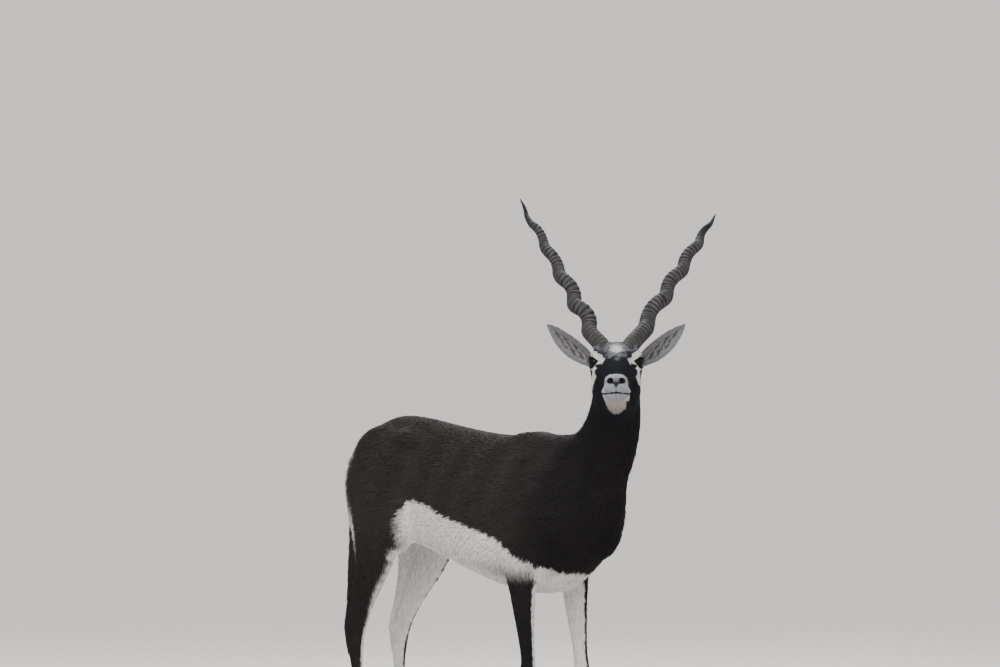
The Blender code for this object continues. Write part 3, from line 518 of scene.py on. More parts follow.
def lids(d, m):
    """The head's form with the opening of the lids cut to below the eyeball's surface, and a crease above."""
    q = (m - EYE_PLACE) @ EYE_AXES.T
    radius = lengths(q)
    k = EYE_RADIUS / np.maximum(radius, 1e-6)
    along, up = q[:, 1] * k, q[:, 2] * k
    outside = np.abs(up) - LID_HEIGHT * (1 - (along / LID_LENGTH) ** 2)
    outside = np.where(q[:, 0] < 0.2 * EYE_RADIUS, REACH, outside)
    crease, rim = (np.exp(-(((outside - line[0]) / line[1]) ** 2)) for line in (LID_CREASE, LID_RIM))
    near = fade(0.003, 0.006, np.abs(radius - EYE_RADIUS))
    d = d + near * (LID_CREASE[2] * (crease * step(0.001, 0.005, up)) - LID_RIM[2] * rim)
    opening = np.maximum(outside, EYE_RADIUS - LID_OPENING - radius)
    return carve(d, opening, 0.0008)


def trunk_group():
    """The trunk, blended from its sections and from lumps for its muscles and bones."""
    steps = [
        (Loaf(TRUNK, 1, 0, power=2.15, egg=0.14), FIRST),
        # Shoulder blade, point of the shoulder, upper arm, withers and breast.
        (Lump((0.053, -0.282, 0.646), (0.025, 0.054, 0.086), (-22, 6, 0)), 0.060),
        (Lump((0.070, -0.330, 0.592), (0.030, 0.048, 0.050), (20, 0, 0)), 0.040),
        (Lump((0.073, -0.256, 0.560), (0.030, 0.060, 0.062), (-25, 0, 0)), 0.035),
        (Lump((0.015, -0.208, 0.768), (0.016, 0.060, 0.022), (2, 0, 0)), 0.030),
        (Lump((0.000, -0.388, 0.622), (0.050, 0.054, 0.090), (-14, 0, 0)), 0.055),
        # Thigh, buttock, fold of the flank and hip bone.
        (Lump((0.058, 0.255, 0.680), (0.046, 0.098, 0.112), (12, 4, 0)), 0.040),
        (Lump((0.046, 0.326, 0.655), (0.036, 0.046, 0.088), (-8, 0, 0)), 0.035),
        (Lump((0.078, 0.188, 0.590), (0.030, 0.050, 0.070), (-20, 0, 0)), 0.035),
        (Lump((0.060, 0.160, 0.768), (0.016, 0.034, 0.014)), 0.035),
    ]
    return Group(steps, mirror=0)


def stance(name, z):
    """How far a leg stands forward or back at this height."""
    return STANCE[name] * fade(0.0, LEG_TOP, z)


def leg_rows(name):
    """The rows of a leg, as for the left one."""
    return FORELEG if name.startswith("front") else HIND_LEG


def leg_group(name):
    """One leg down to its hooves, with its knee pad or heel, its toes and its dewclaws."""
    side = 1 if name.endswith("left") else -1
    leg = leg_rows(name)

    def placed(rows):
        return [(side * x, y + stance(name, z), z, half, deep) for x, y, z, half, deep in rows]

    steps = [(Tube(spline(placed(leg), 3)), FIRST)]
    if leg is FORELEG:
        knee_pad = (side * 0.068, -0.248 + stance(name, 0.268), 0.268)
        steps.append((Lump(knee_pad, (0.008, 0.010, 0.018)), 0.012))
    else:
        steps.append((Tube(spline(placed(HEEL_TENDON), 2)), 0.014))
    foot = leg[-1]
    dewclaw_back = leg[-3][1] + 0.0155
    for inner in (-1, 1):
        toe = (side * foot[0] + inner * 0.0082, foot[1] + stance(name, 0.034) + 0.001, 0.034)
        steps.append((Lump(toe, (0.0085, 0.0150, 0.0130), (-20, 0, 0)), 0.006))
        dewclaw = (side * foot[0] + inner * 0.0085, dewclaw_back + stance(name, 0.07), 0.072)
        steps.append((Lump(dewclaw, (0.0048, 0.0058, 0.0088), (30, 0, 0)), 0.005))
    return Group(steps)


def neck_group():
    """Sections from the chest to the back of the head, turning with the head."""
    end = from_head((-0.050, 0, -0.026))
    lead = end - 0.030 * HEAD_AXES[0] * np.array((1, 1, 0)) + np.array((0.004, 0, -0.09))
    rows = []
    for t, half, deep in spline(NECK_SECTIONS, 3):
        line = [NECK_START, NECK_BEND, lead, end]
        weight = [(1 - t) ** 3, 3 * t * (1 - t) ** 2, 3 * t * t * (1 - t), t**3]
        centre = sum(w * c for w, c in zip(weight, line))
        side = unit((1 - t) * np.array((1.0, 0, 0)) + t * HEAD_AXES[1])
        rows.append((*centre, half, deep, *side))
    return Group([(Tube(rows), FIRST)])


def head_group():
    """The head, blended and cut in its own axes, with the opening of the lids."""
    mouth = [
        (0.1370, 0.0000, -0.0832, 0.0022, 0.0022),
        (0.1310, 0.0140, -0.0835, 0.0022, 0.0022),
        (0.1150, 0.0260, -0.0825, 0.0020, 0.0020),
        (0.0930, 0.0300, -0.0795, 0.0018, 0.0018),
        (0.0780, 0.0310, -0.0765, 0.0014, 0.0014),
    ]
    philtrum = [(0.1410, 0, -0.063, 0.0018, 0.0018), (0.1375, 0, -0.0820, 0.0020, 0.0020)]
    steps = [
        (Loaf(SKULL, 0, 1, power=2.3, egg=-0.04), FIRST),
        (Lump((-0.062, 0, -0.012), (0.034, 0.046, 0.042)), 0.020),
        # Orbit, brow, cheek, the bony edge under the eye and the jaw.
        (Lump(EYE_PLACE, (EYE_RADIUS + LID_THICKNESS,) * 3), 0.012),
        (Lump((0.004, 0.038, 0.016), (0.024, 0.012, 0.009), (0, 0, -18)), 0.014),
        (Lump((-0.018, 0.036, -0.052), (0.036, 0.0135, 0.036)), 0.018),
        (Lump((0.036, 0.033, -0.026), (0.034, 0.0085, 0.008), (0, 18, -14)), 0.014),
        (Lump((-0.022, 0.025, -0.080), (0.046, 0.014, 0.014), (0, -4, -8)), 0.018),
        # Seats of the horns and ears.
        (Lump((-0.022, 0.0300, 0.032), (0.020, 0.0190, 0.020), (0, -30, 0)), 0.014),
        (Lump((-0.052, 0.042, 0.014), (0.020, 0.017, 0.024)), 0.014),
        # Nostril wings, upper lip, chin and corner of the lips.
        (Lump((0.117, 0.0125, -0.0565), (0.020, 0.0100, 0.0120), (0, 12, 4)), 0.008),
        (Lump((0.115, 0.0110, -0.0735), (0.021, 0.0140, 0.0098)), 0.009),
        (Lump((0.100, 0, -0.0900), (0.026, 0.0185, 0.0105)), 0.014),
        (Lump((0.086, 0.0195, -0.0780), (0.030, 0.0080, 0.0090)), 0.014),
        # Nostril, the groove under the nose, the mouth and the gland before the eye.
        (Lump((0.138, 0.0138, -0.0572), (0.0090, 0.0074, 0.0054), (24, 0, 32)), CUT),
        (Tube(philtrum, side=(0, 1, 0)), CUT),
        (Tube(spline(mouth, 3), side=(0, 0, 1)), CUT),
        (Lump((0.030, 0.0425, -0.004), (0.0085, 0.0040, 0.0017), (0, 12, -12)), CUT),
    ]
    return Group(steps, EYES_MIDDLE, HEAD_AXES, mirror=1, finish=lids)


def tail_group():
    return Group([(Tube([(0, *row) for row in spline(TAIL, 3)]), FIRST)])


class Body:
    """The whole flesh: trunk, legs, neck, tail and head with the fillet each one joins by."""

    def __init__(self):
        self.trunk = trunk_group()
        self.legs = [leg_group(name) for name in STANCE]
        self.neck = neck_group()
        self.head = head_group()
        self.tail = tail_group()

    def distance(self, points):
        d = self.trunk.distance(points)
        legs = np.min([leg.distance(points) for leg in self.legs], 0)
        d = join(d, legs, LEG_FILLET)
        d = join(d, self.neck.distance(points), NECK_FILLET)
        d = join(d, self.tail.distance(points), TAIL_FILLET)
        return join(d, self.head.distance(points), HEAD_FILLET)


def mesh_object(name, bm, collection):
    """An object with this mesh, its faces turned outward."""
    bmesh.ops.recalc_face_normals(bm, faces=bm.faces)
    mesh = bpy.data.meshes.new(name)
    bm.to_mesh(mesh)
    bm.free()
    obj = bpy.data.objects.new(name, mesh)
    collection.objects.link(obj)
    return obj


def remesh(obj, voxel):
    """Give the object one even skin over all its solids."""
    modifier = obj.modifiers.new("voxels", "REMESH")
    modifier.mode = "VOXEL"
    modifier.voxel_size = voxel
    evaluated = obj.evaluated_get(bpy.context.evaluated_depsgraph_get())
    mesh = bpy.data.meshes.new_from_object(evaluated)
    obj.modifiers.clear()
    obj.data = mesh


def vertices(mesh):
    flat = np.empty(len(mesh.vertices) * 3)
    mesh.vertices.foreach_get("co", flat)
    return flat.reshape(-1, 3)


def settle(obj, form, reach):
    """Move each vertex down the form's slope until it lies on its surface."""
    points = vertices(obj.data)
    d = form.distance(points)
    for _ in range(SETTLE_ROUNDS):
        loose = np.abs(d) > SETTLED
        p, left = points[loose], d[loose]
        slope = np.stack([form.distance(p + PROBE * axis) - left for axis in np.eye(3)], 1) / PROBE
        steep = np.maximum((slope**2).sum(1), 0.25)
        move = -slope * (left / steep)[:, None]
        length = lengths(move)[:, None]
        points[loose] = p + move * np.minimum(1, reach / np.maximum(length, 1e-9))
        d[loose] = form.distance(points[loose])
    obj.data.vertices.foreach_set("co", points.ravel())
    obj.data.update()


def settled(name, groups, form, voxels, collection):
    """The groups' solids fused, remeshed and laid onto the form at ever finer sizes."""
    bm = bmesh.new()
    for group in groups:
        group.add_to(bm)
    obj = mesh_object(name, bm, collection)
    for voxel in voxels:
        remesh(obj, voxel)
        settle(obj, form, voxel)
    return obj


def horn_line(side, share):
    """Centre of the horn and its radius, in the head's axes and as for the left horn."""
    lean = math.radians(HORN_LEAN[side])
    spread = math.radians(HORN_SPREAD[side])
    level = math.cos(spread)
    axis = np.array((-math.cos(lean) * level, math.sin(spread), math.sin(lean) * level))
    outward = unit(np.array((0, 1.0, 0)) - axis[1] * axis)
    back = np.cross(axis, outward)

    def swing(t):
        angle = math.tau * read(HORN_BULGES[side], t)
        reach = np.interp(t, HORN_SWING_SHARES, HORN_SWING[side])
        return reach * (outward * math.cos(angle) + back * math.sin(angle))

    radius = np.interp(share, HORN_SHARES, HORN_RADII[side])
    return HORN_BASE - swing(0.0) + axis * HORN_LENGTH * share + swing(share), radius


def coronet_height(y, foot_y):
    """Height of the line between leg and hoof, higher in front."""
    return CORONET - CORONET_SLOPE * (y - foot_y)


# Colours, in linear light.
BLACK = (0.0045, 0.0040, 0.0044)
CHARCOAL = (0.0212, 0.0174, 0.0172)
FACE_BLACK = (0.0072, 0.0080, 0.0115)
WHITE = (0.640, 0.625, 0.610)
# Cream of the chin and throat, darkened by painted shade where they face the ground.
SHADED_CREAM = (0.400, 0.352, 0.322)
# Painted shade for the front of the white muzzle.
MUZZLE_SHADE = (0.330, 0.342, 0.382)
BLUE_GREY = (0.140, 0.148, 0.168)
NOSE = (0.0050, 0.0045, 0.0055)
NOSE_GREY = (0.125, 0.128, 0.145)
EAR_PALE = (0.185, 0.180, 0.190)
EAR_DARK = (0.012, 0.012, 0.015)
EAR_BACK = (0.105, 0.090, 0.088)
EAR_GREY = (0.115, 0.108, 0.112)
HORN_TONE = (0.038, 0.0355, 0.0395)
HORN_OLIVE = (0.0345, 0.0345, 0.0320)
HORN_TIP = (0.011, 0.011, 0.013)
HOOF_TONE = np.array((0.018, 0.016, 0.016))
EYE_WHITE = (0.0050, 0.0036, 0.0032)
IRIS = (0.0036, 0.0024, 0.0019)
PUPIL = (0.0025, 0.0022, 0.0025)
LID_TONE = (0.006, 0.005, 0.005)
FLOOR_TONE = (0.62, 0.60, 0.58)
BACKDROP_TONE = (0.80, 0.79, 0.78, 1)
# The white belly: a place along the body and the height of the white's edge there.
BELLY_LINE = [
    (-0.45, 0.48),
    (-0.33, 0.500),
    (-0.26, 0.530),
    (-0.18, 0.572),
    (0.0, 0.613),
    (0.09, 0.638),
    (0.13, 0.636),
    (0.165, 0.595),
    (0.22, 0.55),
]
# Heights on the face are as seen from the front, a little from below: these shares of up and of forward.
SEEN_UP = 0.987
SEEN_FORWARD = 0.158
# Edges of the face's markings: a height and the half width there.
CROWN_EDGE = [(0.0090, 0.012), (0.0130, 0.0230), (0.022, 0.0340), (0.0300, 0.0430), (0.0440, 0.0500)]
CHEEK_EDGE = [(-0.045, 0.0425), (-0.012, 0.0380), (-0.005, 0.0335), (0.001, 0.0220), (0.004, 0.0)]
MUZZLE_EDGE = [
    (-0.0660, 0.036),
    (-0.0600, 0.035),
    (-0.0520, 0.027),
    (-0.0432, 0.0228),
    (-0.0285, 0.0190),
    (-0.0235, 0.0120),
    (-0.0210, 0),
]
THROAT_EDGE = [
    (-0.110, 0),
    (-0.1033, 0.009),
    (-0.0950, 0.018),
    (-0.0870, 0.0218),
    (-0.0788, 0.0245),
    (-0.070, 0.0270),
    (-0.060, 0.028),
]
NOSE_PAD_EDGE = [(-0.0735, 0.0), (-0.0670, 0.0050), (-0.0615, 0.0130)]
# Height on the muzzle and how far forward its white begins there.
MUZZLE_BACK = [(-0.080, 0.050), (-0.068, 0.056), (-0.058, 0.078), (-0.035, 0.095), (-0.015, 0.108)]
# The white bands of the brow: start, end and half width. Then middles and sizes of the forehead's blotches.
BROW_BANDS = [((0.0260, 0.0045), (0.0530, 0.0270), 0.0062), ((0.0172, 0.0076), (0.0275, 0.0030), 0.0046)]
DARK_BLOTCH = ((0.031, 0.021), (0.010, 0.007))
PALE_TUFT = ((0, 0.032), (0.0150, 0.0105))
# Bare places of the face in the head's axes.
NOSTRIL = np.array((0.1310, 0.0140, -0.0577))
NOSTRIL_SIZE = np.array((0.0110, 0.0080, 0.0066))
GLAND = np.array((0.0265, 0.0390, -0.0085))
GLAND_SIZE = np.array((0.0115, 0.0080, 0.0046))
LIP_CORNER = np.array((0.0900, 0.0290, -0.0720))
MOUTH = spline(
    [
        (0.1300, 0.0000, -0.0832),
        (0.1260, 0.0140, -0.0835),
        (0.1110, 0.0240, -0.0825),
        (0.0930, 0.0275, -0.0795),
        (0.0760, 0.0280, -0.0765),
    ],
    4,
)
# Skin and coat: sizes of the voxels, the number of tufts and how many go into one piece at most.
SKIN_HEAD_VOXELS = (0.006, 0.003, 0.0015)
SKIN_BODY_VOXELS = (0.008, 0.0045)
TUFTS = 190000
TUFTS_IN_PIECE = 38000
# A tuft has two points at its root, three at its middle and one at its tip. Each has a factor on the tuft's
# colour, with painted shade at the root, down among the hair, and lighter toward the ridge and tip,
# and a place in its patch of the flat map.
TUFT_FACES = np.array([(0, 3, 2), (0, 1, 3), (1, 4, 3), (2, 3, 5), (3, 4, 5)])
TUFT_PAINTED_SHADE = np.array((0.62, 0.62, 0.95, 1.05, 0.95, 1.12))
TUFT_PATCH = np.array([(0, 0), (1, 0), (0.05, 0.5), (0.5, 0.5), (0.95, 0.5), (0.5, 1)]) - 0.5
PATCH_SIZE = 0.003
# Shape of the right side's pieces, as a factor on the left side's in the head's axes.
MIRROR = {"left": np.array((1, 1, 1)), "right": np.array((1, -1, 1))}
FLESH = ("head", "neck", "torso", "tail", *(f"leg_{name}" for name in STANCE))
# The camera, in the photo's pixels, millimetres, degrees and metres.
PHOTO_SIZE = (1000, 667)
EYES_SEEN = (616.2, 363.8)
LENS = 400
SENSOR = 36
CAMERA_AZIMUTH = -40
CAMERA_ELEVATION = 1.90
CAMERA_DISTANCE = 23.6
# The studio: half the floor's side, strengths, and each soft light's place, size and power.
FLOOR = 4000
WORLD_LIGHT = 0.95
SUN_LIGHT = 2.6
SUN_WIDTH = 35
KEY_FROM = (-0.9, -0.35, 1.5)
SOFT_LIGHTS = [("face", (-3.0, -4.2, 2.2), 2.5, 160), ("rim", (2.6, 3.4, 3.0), 2.0, 220)]


def mix(a, b, share):
    """Colour a where share is 0 and b where it is 1."""
    share = np.asarray(share)[:, None]
    return np.asarray(a) * (1 - share) + np.asarray(b) * share


def waves(points, size, seed):
    """Smooth random values from -1 to 1 with blotches of about this size."""
    rng = np.random.default_rng(seed)
    total = np.zeros(len(points))
    for scale, share in ((1, 0.6), (2.1, 0.3), (4.3, 0.16)):
        for _ in range(5):
            turn = rng.normal(size=3)
            turn *= scale * math.tau / (size * np.linalg.norm(turn))
            total += share * np.sin(points @ turn + rng.uniform(0, math.tau)) / 2.2
    return np.clip(total, -1, 1)


def band(across, up, start, end, half):
    """1 near the line from start to end, seen from the front."""
    line = np.array(end) - start
    q = np.stack([across - start[0], up - start[1]], 1)
    share = np.clip(q @ line / (line @ line), 0, 1)
    return fade(half - 0.001, half + 0.0015, lengths(q - share[:, None] * line))


def blotch(across, up, middle, size):
    """1 at the middle, fading with distance, seen from the front."""
    return np.exp(-(((across - middle[0]) / size[0]) ** 2) - (((up - middle[1]) / size[1]) ** 2))


def mouth_distance(points):
    """Distance from the line of the mouth, with a way forward counting less."""
    best = np.full(len(points), np.inf)
    for a, b in zip(MOUTH, MOUTH[1:]):
        way = b - a
        share = np.clip((points - a) @ way / (way @ way), 0, 1)
        best = np.minimum(best, lengths((points - a - share[:, None] * way) * (0.4, 1, 1)))
    return best


def tail_back_and_fold_shade(points):
    """1 on the dark back of the tail and, as painted shade, in the fold under its root; 0 on its underside
    and on the rump.
    """
    line = np.asarray(TAIL)[::-1]
    middle, half, deep = (np.interp(points[:, 2], line[:, 1], line[:, k]) for k in (0, 2, 3))
    across, behind = points[:, 0] / half, (points[:, 1] - middle) / deep
    # Near the tail's root the dark reaches deep behind it: painted shade in the fold under the root.
    root = points[:, 2] > 0.655
    reach = np.where(root, np.abs(across), np.hypot(across, behind))
    return fade(1.3, 1.6, reach) * step(0, 0.4, behind + np.where(root, 1.9, 0.85))


def body_colour(points, normals, ragged):
    """Black to charcoal, with a white belly, white inner legs and a white rump, and painted shade in the fold
    under the tail.
    """
    x, y, z = points.T
    # The neck and shoulders are the blackest, and the legs come next.
    colour = mix(CHARCOAL, BLACK, 0.9 * fade(-0.42, -0.20, y + 0.25 * (z - 0.75)))
    colour = mix(colour, BLACK, 0.5 * fade(0.40, 0.62, z))
    colour *= (1 + 0.16 * waves(points, 0.09, 5))[:, None]
    forehand = y < -0.10
    inward = -np.sign(x) * normals[:, 0]
    outside = step(-0.10, 0.12, -inward + 14 * ragged)
    limb = np.where(forehand, fade(0.47, 0.53, z), step(0.13, 0.17, y)) * fade(0.40, 0.70, -normals[:, 2])
    belly = fade(-0.004, 0.004, z - (read(BELLY_LINE, y) + ragged)) * (1 - limb * outside)
    inside = step(0.05, 0.30, inward + 14 * ragged)
    inside = inside * np.where(forehand, fade(0.53, 0.56, z), step(0.10, 0.14, y)) * fade(0.68, 0.72, z)
    rump = step(0.3, 0.55, normals[:, 1] + 10 * ragged) * step(0.29, 0.31, y)
    rump = rump * fade(0.765, 0.775, z + ragged) * step(0.50, 0.57, z + 2 * ragged)
    between = step(0.10, 0.35, -normals[:, 2]) * step(0.10, 0.14, y)
    between = between * (z > 0.45) * fade(0.040, 0.055, np.abs(x))
    white = np.max([belly, inside, rump, between], 0) * fade(0.80, 0.82, z)
    white *= step(-0.41, -0.385, y + 1.5 * ragged)
    # No white on the tail's dark back, nor in its fold, where the coat's dark colour stays as painted shade.
    return mix(colour, WHITE, white * (1 - tail_back_and_fold_shade(points)))


def with_forehead(colour, points, m, seen, ragged, on_head):
    """The colour with the forehead's grey, its dark blotches and its pale tuft."""
    fore, left, _ = m.T
    crown = fade(-0.002, 0.002, left - read(CROWN_EDGE, seen) + ragged)
    crown = crown * step(0.0080, 0.0220, seen + 1.5 * ragged)
    crown *= on_head * step(-0.060, -0.045, fore)
    grey = mix(BLUE_GREY, FACE_BLACK, 0.8 * step(-0.2, 0.8, waves(points, 0.016, 7)))
    grey = mix(grey, FACE_BLACK, np.clip(1.2 * blotch(left, seen, *DARK_BLOTCH), 0, 0.85))
    pale = step(0.20, 0.85, blotch(left, seen, *PALE_TUFT) + 0.25 * waves(points, 0.008, 8))
    return mix(mix(colour, grey, crown), WHITE, 0.9 * crown * pale)


def eye_white(m, seen, ragged):
    """1 on the white by the eye: a broad band over the brow and a wedge running down the cheek."""
    fore, left, up = m.T
    ahead = fore - EYE_PLACE[0]
    brow = np.max([band(left, seen + ragged, *line) for line in BROW_BANDS], 0)
    brow *= fade(0.040, 0.050, ahead)
    round_eye = fade(0.95, 1.10, np.hypot(ahead / 0.0245, (up + 0.003) / 0.0175) + 30 * ragged)
    round_eye *= step(0.022, 0.028, left)
    depth = -up / 0.056
    wedge = fade(-0.002, 0.002, ahead - 0.024 + 0.030 * depth + ragged)
    wedge *= fade(-0.002, 0.002, -ahead - 0.038 - 0.006 * depth + ragged)
    wedge *= (up < 0) * fade(0.85, 0.92, depth + 30 * ragged) * (left > 0.022)
    cheek = step(-0.0015, 0.0015, left - read(CHEEK_EDGE, seen) + 0.5 * ragged)
    return np.maximum(brow, np.maximum(round_eye, wedge) * cheek)


def with_muzzle(colour, m, seen, ragged, on_head):
    """The colour with the white of muzzle and lips, painted shade on the muzzle's front, grey by the nose,
    cream under the chin deepened by painted shade, and more painted shade down the throat.
    """
    fore, left, up = m.T
    muzzle = fade(-0.0015, 0.0015, left - read(MUZZLE_EDGE, seen) - 0.002 + 0.5 * ragged)
    muzzle *= step(-0.002, 0.002, fore - read(MUZZLE_BACK, up) + ragged)
    muzzle *= fade(-0.0245, -0.0205, seen)
    lips = step(0.044, 0.054, fore + ragged) * fade(-0.0605, -0.0575, seen + ragged)
    lips *= fade(-0.075, -0.072, up)
    throat = fade(-0.002, 0.002, left - read(THROAT_EDGE, seen) + 0.6 * ragged) * fade(-0.074, -0.070, up)
    throat *= step(-0.110, -0.106, seen + ragged)
    # Painted shade on the front of the white muzzle, half as strong on its top, which faces the light.
    tone = mix(WHITE, MUZZLE_SHADE, step(0.080, 0.105, fore) * (1 - 0.5 * step(-0.05, -0.03, up)))
    nose = fade(0.5, 1.3, np.hypot(left / 0.0130, (up + 0.0590) / 0.0085))
    tone = mix(tone, NOSE_GREY, 0.8 * nose * (fore > 0.105))
    # Cream under the chin, deepened by painted shade, and more painted shade further down the throat, which
    # faces the ground.
    tone = mix(tone, SHADED_CREAM, fade(-0.083, -0.068, seen))
    tone *= (1 - 0.38 * fade(-0.112, -0.080, seen))[:, None]
    return mix(colour, tone, np.maximum(np.maximum(muzzle, lips), throat) * on_head)


def bare_skin(m):
    """1 on bare dark skin: nostrils, the bar under them, the mouth, lids and the gland before the eye."""
    fore, left, up = m.T
    nostril = fade(0.9, 1.15, lengths((m - NOSTRIL) / NOSTRIL_SIZE))
    pad = fade(-0.001, 0.0015, left - read(NOSE_PAD_EDGE, up))
    bar = pad * fade(-0.0610, -0.0590, up) * (fore > 0.112)
    groove = fade(0.0006, 0.0026, left) * fade(-0.0700, -0.0660, up) * (up > -0.0800) * (fore > 0.112)
    mouth = fade(0.0016, 0.0030, mouth_distance(m))
    gland = fade(0.8, 1.2, lengths((m - GLAND) / GLAND_SIZE))
    q = (m - EYE_PLACE) @ EYE_AXES.T
    lid = np.abs(q[:, 2]) - LID_HEIGHT * (1 - (q[:, 1] / (1.22 * LID_LENGTH)) ** 2)
    lid = np.where(q[:, 2] > 0, lid - 0.0022, lid - 0.0032)
    lid = fade(0.0010, 0.0022, lid) * (q[:, 0] > 0.1 * EYE_RADIUS) * (np.abs(q[:, 1]) < 1.5 * LID_LENGTH)
    lid *= lengths(q) < 1.7 * EYE_RADIUS
    return np.max([nostril, 0.9 * bar, 0.55 * groove, mouth, gland, lid], 0)


def markings(points, normals):
    """Colour of the coat at points of the skin, in the form's axes, with painted shade on the muzzle, under
    the chin and in the fold under the tail, and 1 where the skin is bare.
    """
    m = to_half_head(points)
    fore, _, up = m.T
    seen = SEEN_UP * up + SEEN_FORWARD * fore
    ragged = 0.004 * waves(points, 0.022, 3) + 0.002 * waves(points, 0.006, 4)
    on_head = step(-0.100, -0.060, fore + 0.3 * (up + 0.03)) * (lengths(m) < 0.24)
    colour = body_colour(points, normals, ragged)
    colour = mix(colour, FACE_BLACK, on_head * step(-0.060, -0.030, fore))
    colour = with_forehead(colour, points, m, seen, ragged, on_head)
    colour = mix(colour, WHITE, eye_white(m, seen, ragged) * on_head)
    colour = with_muzzle(colour, m, seen, ragged, on_head)
    bare = bare_skin(m) * on_head
    return mix(colour, NOSE, bare), bare


class Wire:
    """A value in a material's nodes. Sums of wires are written as sums."""

    def __init__(self, tree, socket):
        self.tree = tree
        self.socket = socket

    def node(self, kind, settings=(), values=(), output=0):
        """Any other node: its type, its settings, then its values or wires by socket."""
        made = self.tree.nodes.new(kind)
        for key, value in dict(settings).items():
            setattr(made, key, value)
        for key, value in dict(values).items():
            if isinstance(value, Wire):
                self.tree.links.new(value.socket, made.inputs[key])
            else:
                made.inputs[key].default_value = value
        return Wire(self.tree, made.outputs[output])

    def maths(self, operation, first, second):
        return self.node("ShaderNodeMath", {"operation": operation}, {0: first, 1: second})

    def __add__(self, other):
        return self.maths("ADD", self, other)

    def __radd__(self, other):
        return self.maths("ADD", other, self)

    def __sub__(self, other):
        return self.maths("SUBTRACT", self, other)

    def __rsub__(self, other):
        return self.maths("SUBTRACT", other, self)

    def __mul__(self, other):
        return self.maths("MULTIPLY", self, other)

    def __rmul__(self, other):
        return self.maths("MULTIPLY", other, self)

    def noise(self, scale):
        """Noise over these coordinates, finer for a higher scale."""
        return self.node("ShaderNodeTexNoise", {}, {"Vector": self, "Scale": scale, "Detail": 3.0})

    def times(self, colour, low, high):
        """The colour made darker or lighter as this value goes from 0 to 1."""
        factor = self.node("ShaderNodeMapRange", {}, {"Value": self, "To Min": low, "To Max": high})
        return self.node("ShaderNodeVectorMath", {"operation": "SCALE"}, {0: colour, "Scale": factor})


def painted(name, roughness, grain, shades, bump, shine=0.15, coat=0.0):
    """A material in the piece's painted colours, with a grain in its colour and its relief."""
    surface = bpy.data.materials.new(name)
    surface.use_nodes = True
    tree = surface.node_tree
    shader = tree.nodes["Principled BSDF"]
    start = Wire(tree, None)
    place = start.node("ShaderNodeTexCoord", output="Object")
    colour = start.node("ShaderNodeAttribute", {"attribute_name": "paint"}, output="Color")
    grains = place.noise(grain)
    tree.links.new(grains.times(colour, *shades).socket, shader.inputs["Base Color"])
    rough = grains * 0.12 + (roughness - 0.06)
    tree.links.new(rough.socket, shader.inputs["Roughness"])
    fine = place.noise(grain * 2.4) + grains * 0.6
    relief = start.node("ShaderNodeBump", {}, {"Height": fine, "Distance": bump, "Strength": 0.6})
    tree.links.new(relief.socket, shader.inputs["Normal"])
    shader.inputs["Coat Weight"].default_value = coat
    shader.inputs["Specular IOR Level"].default_value = shine
    return surface


def paint(obj, colours):
    """Store one colour for each vertex."""
    layer = obj.data.color_attributes.new("paint", "FLOAT_COLOR", "POINT")
    flat = np.ones((len(colours), 4), np.float32)
    flat[:, :3] = np.clip(colours, 0, 1)
    layer.data.foreach_set("color", flat.ravel())


def vertex_normals(mesh):
    flat = np.empty(len(mesh.vertices) * 3)
    mesh.vertex_normals.foreach_get("vector", flat)
    return flat.reshape(-1, 3)


def mesh_from(name, points, faces, collection):
    """A mesh object from arrays of points and of triangles."""
    mesh = bpy.data.meshes.new(name)
    mesh.vertices.add(len(points))
    mesh.vertices.foreach_set("co", np.asarray(points, np.float32).ravel())
    mesh.loops.add(faces.size)
    mesh.loops.foreach_set("vertex_index", faces.astype(np.int32).ravel())
    mesh.polygons.add(len(faces))
    mesh.polygons.foreach_set("loop_start", np.arange(0, faces.size, 3, dtype=np.int32))
    mesh.update(calc_edges=True)
    mesh.shade_smooth()
    obj = bpy.data.objects.new(name, mesh)
    collection.objects.link(obj)
    return obj


def tube_faces(rows, count, side="left"):
    """Triangles over rows of count points each, closed at both ends, and turned over on the right side."""
    first = np.arange(count)
    after = (first + 1) % count
    faces = []
    for low in range(0, (rows - 1) * count, count):
        high = low + count
        faces.append(np.stack([low + first, low + after, high + after], 1))
        faces.append(np.stack([low + first, high + after, high + first], 1))
    top = (rows - 1) * count
    faces.append(np.stack([np.full(count - 2, top), top + first[1:-1], top + first[2:]], 1))
    faces.append(np.stack([np.zeros(count - 2, int), first[2:], first[1:-1]], 1))
    return np.concatenate(faces)[:, :: 1 if side == "left" else -1]


def cut_open(bm, faces, point, normal):
    """Cut these faces at a plane, drop what lies behind it, and return the edges of the cut."""
    # Each edge and vertex once, in the faces' order, so that every run numbers the cut alike.
    edges = dict.fromkeys(edge for face in faces for edge in face.edges)
    verts = dict.fromkeys(vert for face in faces for vert in face.verts)
    found = bmesh.ops.bisect_plane(
        bm, geom=[*faces, *edges, *verts], plane_co=Vector(point), plane_no=Vector(normal), clear_inner=True
    )
    return [item for item in found["geom_cut"] if isinstance(item, bmesh.types.BMEdge)]


def foot_place(name):
    """The middle of a foot on its own side, out from the middle and along the body."""
    foot = leg_rows(name)[-1]
    return foot[0], foot[1] + stance(name, foot[2])


def close_foot(bm, name):
    """Cut the leg off at the line of its hooves and close it there."""
    side = 1 if name.endswith("left") else -1
    _, foot_y = foot_place(name)

    def on_foot(middle):
        return middle.z < 0.07 and middle.x * side > 0 and abs(middle.y - foot_y) < 0.08

    near = [face for face in bm.faces if on_foot(face.calc_center_median())]
    rim = cut_open(bm, near, (0, foot_y, CORONET), unit((0, CORONET_SLOPE, 1)))
    bmesh.ops.holes_fill(bm, edges=rim)


